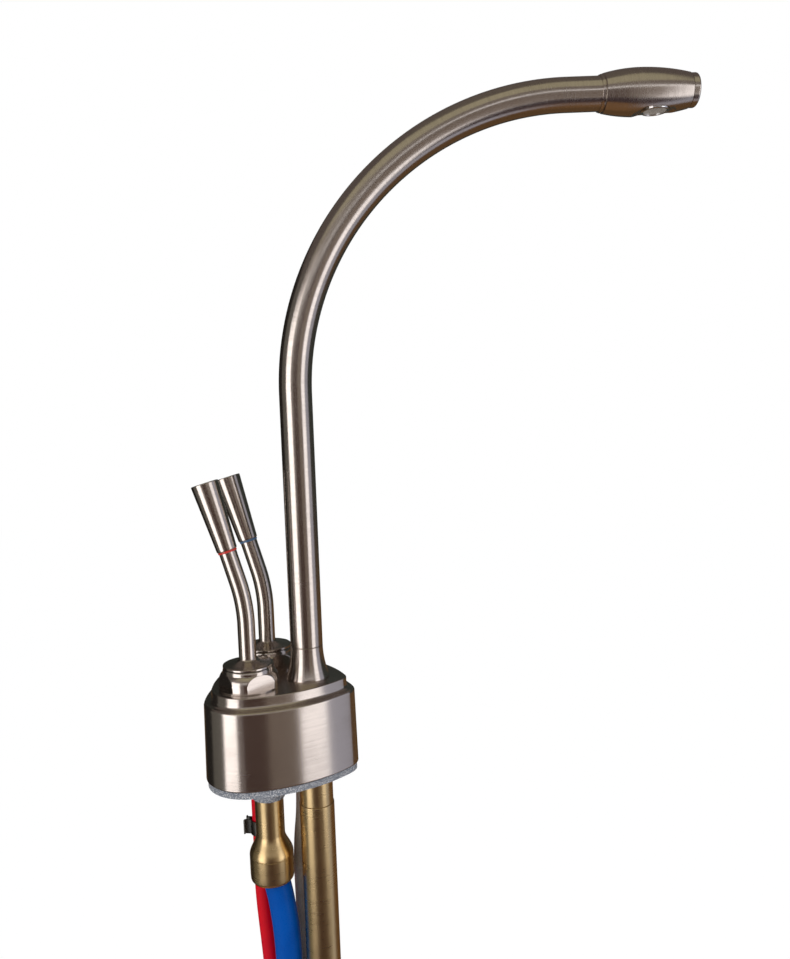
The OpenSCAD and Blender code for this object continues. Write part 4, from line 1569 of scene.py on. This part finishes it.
@dataclass
class SpringClip:
    """A spring band round a silicone tube, with two bent tabs to squeeze it open."""

    name: str
    node: str
    at: Place
    inner: float = 3.255
    wall: float = 0.6
    height: float = 5.8
    tab: float = 3.2
    gap: float = 2.5

    def build(self, wardrobe: Wardrobe) -> bpy.types.Object:
        """Makes the band and its tabs as one piece.

        Args:
            wardrobe: Gives the finishes.

        Returns:
            The piece.
        """
        spot = Vector(self.at)
        mid, half = self.inner + self.wall / 2, self.wall / 2
        y_end = self.inner + self.tab - 0.4
        tab = [(2.1, y_end), (1.45, y_end - 0.05), (1.22, y_end - 0.35), (1.2, 4.2)]
        line = [Vector((-x, y, 0)) for x, y in tab]
        gap = math.asin(self.gap / 2 / mid)
        for k in range(41):
            a = math.pi / 2 + gap + (2 * math.pi - 2 * gap) * k / 40
            line.append(Vector((mid * math.cos(a), mid * math.sin(a), 0)))
        line += [Vector((x, y, 0)) for x, y in reversed(tab)]
        h, edge = self.height, 0.12
        outline = [
            (half, edge), (half, h - edge), (half - edge, h), (edge - half, h),
            (-half, h - edge), (-half, edge), (edge - half, 0), (half - edge, 0),
        ]
        rings: list[list[Vector]] = []
        for i, p in enumerate(line):
            run = (line[min(i + 1, len(line) - 1)] - line[max(i - 1, 0)]).normalized()
            out = Vector((run.y, -run.x, 0))
            rings.append([spot + p + out * across + Vector((0, 0, up)) for across, up in outline])
        band = skin(self.name, rings, sharp_deg=40)
        return wardrobe.place(band, SPRING_BLACK, "base", self.node)


@dataclass
class Compression:
    """The compression nut and its sleeve at the end of the cold tube."""

    at: Point = (-3.9, 11.4)
    top: float = -314.0
    height: float = 11.0
    nut_r: float = 8.6
    bore_r: float = 5.2

    def limit(self, r: float, z: float, angle: float) -> float:
        """The radius that the nut's six flats leave at an angle."""
        off = angle % (math.pi / 3) - math.pi / 6
        return min(r, self.nut_r * math.cos(math.pi / 6) / math.cos(off))

    def build(self, wardrobe: Wardrobe) -> list[bpy.types.Object]:
        """Makes the nut and the sleeve.

        Args:
            wardrobe: Gives the finishes.

        Returns:
            Both pieces.
        """
        place = Matrix.Translation((*self.at, self.top - self.height))
        h, r = self.height, self.nut_r - 0.03
        section = rounded([
            Corner(self.bore_r, h - 2), Corner(self.bore_r, h + 1.98), Corner(6.9, h + 1.98, 0.4),
            Corner(6.9, h - 0.02), Corner(7.8, h - 0.02), Corner(r, h - 0.5), Corner(r, 0.5),
            Corner(7.8, 0.02), Corner(6.9, 0.02), Corner(6.9, h - 2.2), Corner(self.bore_r, h - 2.1),
        ])
        nut = turned("tube_nut", section, place, 144, loop=True, limit=self.limit)
        wardrobe.place(nut, BRASS, "base", "cold_tube_nut")
        low = Matrix.Translation((*self.at, self.top - 6.5))
        section = rounded([
            Corner(5.13, 1.7), Corner(5.13, 0.02), Corner(5.7, 0.02), Corner(6.28, 1.2, 0.4),
            Corner(6.28, 2.3, 0.4), Corner(5.7, 3.48), Corner(5.13, 3.48), Corner(5.13, 1.8),
        ])
        sleeve = turned("tube_sleeve", section, low, 96, loop=True)
        wardrobe.place(sleeve, WHITE_PLASTIC, "base", "cold_tube_sleeve")
        return [nut, sleeve]


# ------------------------------------------------------------------------------------------
# Camera and studio
# ------------------------------------------------------------------------------------------


@dataclass
class Camera:
    """The camera as it stood for the photograph."""

    at: Place = (-302.5, -89.5, 137.0)
    yaw_deg: float = 8.46
    pitch_deg: float = 5.29
    roll_deg: float = 1.94
    focal_px: float = 850.0
    frame_px: tuple[int, int] = (790, 959)

    def build(self) -> None:
        """Makes the scene's camera."""
        yaw, pitch, roll = (math.radians(d) for d in (self.yaw_deg, self.pitch_deg, self.roll_deg))
        level = math.cos(pitch)
        ahead = Vector((math.cos(yaw) * level, math.sin(yaw) * level, -math.sin(pitch)))
        right = ahead.cross(Vector((0, 0, 1))).normalized()
        up = right.cross(ahead)
        x = right * math.cos(roll) - up * math.sin(roll)
        y = right * math.sin(roll) + up * math.cos(roll)
        z = -ahead
        data = bpy.data.cameras.new("camera")
        data.sensor_width = 36.0
        data.lens = self.focal_px * data.sensor_width / max(self.frame_px)
        data.clip_start, data.clip_end = 0.01, 30.0
        obj = add_object("camera", data)
        obj.matrix_world = framed(x, y, z, Vector(self.at) * MM)
        bpy.context.scene.camera = obj


@dataclass(frozen=True)
class Window:
    """A soft lamp: where it is seen from the tap, and how wide and high it looks, in degrees."""

    name: str
    azimuth: float
    elevation: float
    width: float
    height: float
    level: float
    colour: Colour
    mirrored: bool = True


@dataclass
class Studio:
    """A pale floor and backdrop, soft lamps, and screens that shape what the metal mirrors.

    Azimuths count from the camera's side, positive to the right in the picture. Distances are in
    metres.
    """

    centre: Place = (0.0, -0.03, 0.1)
    facing_deg: float = 196.5
    distance: float = 1.3
    screen_share: float = 0.96
    patch_deg: float = 5.0
    floor_z: float = -1.3
    floor_half: float = 9.0
    windows: Sequence[Window] = field(default_factory=lambda: [
        Window("window_left", -52, -1, 34, 60, 1.15, (1.0, 0.96, 0.94)),
        Window("window_right", 51, -1, 25, 60, 0.58, (1.0, 0.96, 1.0)),
        Window("skylight", -10, 54, 60, 26, 1.2, (0.98, 1.0, 0.96), mirrored=False),
    ])

    def direction(self, azimuth: float, elevation: float) -> Vector:
        """The direction from the tap to a place in the room."""
        a, e = math.radians(self.facing_deg + azimuth), math.radians(elevation)
        return Vector((math.cos(a) * math.cos(e), math.sin(a) * math.cos(e), math.sin(e)))

    def lamps(self) -> None:
        """Makes the soft lamps."""
        for window in self.windows:
            data = bpy.data.lights.new(window.name, "AREA")
            data.shape = "RECTANGLE"
            data.size = 2 * self.distance * math.tan(math.radians(window.width / 2))
            data.size_y = 2 * self.distance * math.tan(math.radians(window.height / 2))
            data.energy = window.level * math.pi * data.size * data.size_y
            data.color = window.colour
            obj = add_object(window.name, data)
            way = self.direction(window.azimuth, window.elevation)
            obj.location = Vector(self.centre) + way * self.distance
            obj.rotation_mode = "QUATERNION"
            obj.rotation_quaternion = way.to_track_quat("Z", "Y")
            obj.visible_camera = False
            obj.visible_glossy = window.mirrored

    def world(self) -> None:
        """Makes the world: white where it is seen or mirrored, and a soft fill elsewhere."""
        world = bpy.data.worlds.new("studio")
        world.use_nodes = True
        world.node_tree.nodes.clear()
        graph = Graph(world.node_tree)
        fill = graph.add("ShaderNodeBackground", {"Color": (0.97, 0.98, 1.0, 1.0), "Strength": 0.62})
        white = graph.add("ShaderNodeBackground", {"Color": (1.0, 1.0, 1.0, 1.0), "Strength": 1.0})
        mixed = graph.add("ShaderNodeMixShader", {
            0: graph.shown_white(), 1: fill.outputs[0], 2: white.outputs[0],
        })
        graph.add("ShaderNodeOutputWorld", {"Surface": mixed.outputs[0]})
        bpy.context.scene.world = world

    def floor(self) -> None:
        """Makes the pale floor, which shows white and keeps the tap's shadow."""
        mesh = bpy.data.meshes.new("floor")
        s, z = self.floor_half, self.floor_z
        mesh.from_pydata([(-s, -s, z), (s, -s, z), (s, s, z), (-s, s, z)], [], [(0, 1, 2, 3)])
        obj = add_object("floor", mesh)
        material, graph = bare_material("pale_floor")
        matt = graph.add("ShaderNodeBsdfDiffuse", {"Color": (0.9, 0.9, 0.9, 1.0)})
        white = graph.add("ShaderNodeEmission", {"Color": (1.0, 1.0, 1.0, 1.0), "Strength": 1.05})
        mixed = graph.add("ShaderNodeMixShader", {
            0: graph.math("MULTIPLY", graph.shown_white(), 0.9), 1: matt.outputs[0], 2: white.outputs[0],
        })
        graph.add("ShaderNodeOutputMaterial", {"Surface": mixed.outputs[0]})
        mesh.materials.append(material)

    def screens(self) -> None:
        """Makes the screens round the tap. Only mirrored rays meet them, and they cast no shadow."""
        plum = (0.05, 0.033, 0.036)
        plans = [
            ("screen_behind_left", -150, -108, -60, 32, (0.02, 0.018, 0.016)),
            ("screen_behind", 180, 210, -12, 32, (0.03, 0.032, 0.028)),
            ("screen_left", -108, -69.5, -60, 32, (0.13, 0.125, 0.11)),
            ("screen_left_middle", -35, -20, -33, 14, (0.22, 0.19, 0.18)),
            ("screen_middle", -20, 10, -33, 14, (0.08, 0.052, 0.042)),
            ("screen_right_middle", 10, 38, -33, 14, (0.22, 0.18, 0.15)),
            ("screen_under_middle", -35, 38, -60, -33, plum),
            ("screen_right", 64, 92, -60, 32, (0.42, 0.43, 0.5)),
            ("screen_behind_right", 92, 180, -12, 32, (0.045, 0.05, 0.045)),
            ("screen_behind_low", 92, 210, -60, -12, (0.13, 0.075, 0.035)),
            ("screen_over_windows", -69.5, 65, 20, 38, (0.2, 0.17, 0.15)),
            ("screen_front_top", -69.5, 62, 38, 70, (0.4, 0.37, 0.26)),
            ("screen_top", -180, 180, 70, 89.9, (0.14, 0.12, 0.1)),
            ("screen_back_top", 62, 298, 32, 70, (0.12, 0.1, 0.09)),
            ("screen_floor", -180, 180, -89.9, -60, (0.2, 0.11, 0.05)),
            ("screen_under_left", -69.5, -35, -60, -31, plum),
            ("screen_under_right", 38, 64, -60, -31, plum),
        ]
        for name, a0, a1, e0, e1, colour in plans:
            self.screen(name, a0, a1, e0, e1, colour)

    def screen(self, name: str, a0: float, a1: float, e0: float, e1: float, colour: Colour) -> None:
        """Makes one curved screen.

        Args:
            name: The screen's name.
            a0: First azimuth.
            a1: Last azimuth.
            e0: Lowest elevation.
            e1: Highest elevation.
            colour: What it shows in the metal.
        """
        across = max(2, int(abs(a1 - a0) / self.patch_deg))
        up = max(2, int(abs(e1 - e0) / self.patch_deg))
        reach = self.distance * self.screen_share
        verts = []
        for j in range(up + 1):
            for i in range(across + 1):
                way = self.direction(a0 + (a1 - a0) * i / across, e0 + (e1 - e0) * j / up)
                verts.append(Vector(self.centre) + way * reach)
        row = across + 1
        faces = [
            (j * row + i, j * row + i + 1, (j + 1) * row + i + 1, (j + 1) * row + i)
            for j in range(up) for i in range(across)
        ]
        mesh = bpy.data.meshes.new(name)
        mesh.from_pydata(verts, [], faces)
        material, graph = bare_material(name)
        glow = graph.add("ShaderNodeEmission", {"Color": (*colour, 1.0), "Strength": 1.0})
        graph.add("ShaderNodeOutputMaterial", {"Surface": glow.outputs[0]})
        mesh.materials.append(material)
        obj = add_object(name, mesh)
        obj.visible_camera = False
        obj.visible_diffuse = False
        obj.visible_transmission = False
        obj.visible_volume_scatter = False
        obj.visible_shadow = False

    def build(self) -> None:
        """Makes the whole studio and sets how colours are shown."""
        self.world()
        self.floor()
        self.lamps()
        self.screens()
        bpy.context.scene.view_settings.view_transform = "Standard"


# ------------------------------------------------------------------------------------------
# The whole tap
# ------------------------------------------------------------------------------------------


def node_finishes() -> dict[str, Finish]:
    """The finish of each node that keeps its own solid.

    Returns:
        Finishes by node name.
    """
    finishes: dict[str, Finish] = {
        "base_plate": CASTING, "valve_manifold": BRASS_PLAIN, "manifold_screws": STEEL,
        "shell_screws": STEEL, "spout_tail": BRASS_PLAIN, "spout_seals": RUBBER,
        "spout_clip": STEEL, "head_seal": RUBBER, "aerator_insert": GREY_PLASTIC,
        "aerator_washer": RUBBER, "hot_tube_barb": BRASS_PLAIN, "vent_tube_barb": BRASS_PLAIN,
    }
    for side in Side:
        finishes.update({
            f"{side.word}_cartridge": BRASS_PLAIN, f"{side.word}_cartridge_seal": RUBBER,
            f"{side.word}_fixed_disc": CERAMIC, f"{side.word}_turning_disc": CERAMIC,
            f"{side.word}_stem": BRASS_PLAIN, f"{side.word}_grub_screw": STEEL,
        })
    return finishes


def build_tubes(wardrobe: Wardrobe) -> None:
    """Makes the three supply tubes and the pieces on them.

    Args:
        wardrobe: Gives the finishes.
    """
    hot_clips = [
        SpringClip("hot_clip_top", "hot_hose_clip", (9.6, 15.6, -32.1)).build(wardrobe),
        SpringClip("hot_clip_end", "hot_end_clip", (11.3, 16.45, -306)).build(wardrobe),
    ]
    vent_clips = [SpringClip("vent_clip_end", "vent_end_clip", (10.6, -4.05, -306)).build(wardrobe)]
    hot = SupplyTube("hot_supply", "hot_tube", 3.175, RED_TUBE, "fitting", "medium", HOT_ROUTE)
    hot.build(wardrobe, hot_clips)
    # The vent tube's colour is painted shade, for the shaded gap behind the bell and shank.
    vent = SupplyTube("vent_supply", "vent_tube", 3.175, CLEAR_TUBE_PAINTED_SHADE, "fitting", "medium", VENT_ROUTE)
    vent.build(wardrobe, vent_clips)
    nut_and_sleeve = Compression().build(wardrobe)
    cold = SupplyTube("cold_supply", "cold_tube", 5.1, BLUE_TUBE, "fitting", "stiff", COLD_ROUTE)
    cold.build(wardrobe, nut_and_sleeve)


def main() -> None:
    """Loads the frame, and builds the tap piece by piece."""
    logging.basicConfig(level=logging.INFO, format="%(name)s: %(message)s")
    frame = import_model()
    Camera().build()
    wardrobe = Wardrobe()
    layout = Layout()
    build_tubes(wardrobe)
    BaseCover(layout).build(wardrobe)
    for side in Side:
        Bonnet(layout, side).build(wardrobe)
        Lever(layout, side).build(wardrobe)
    Spout(layout).build(wardrobe)
    Fittings(layout).build(wardrobe)
    wardrobe.dress_nodes(frame["nodes"], node_finishes())
    Studio().build()


if __name__ == "__main__":
    main()
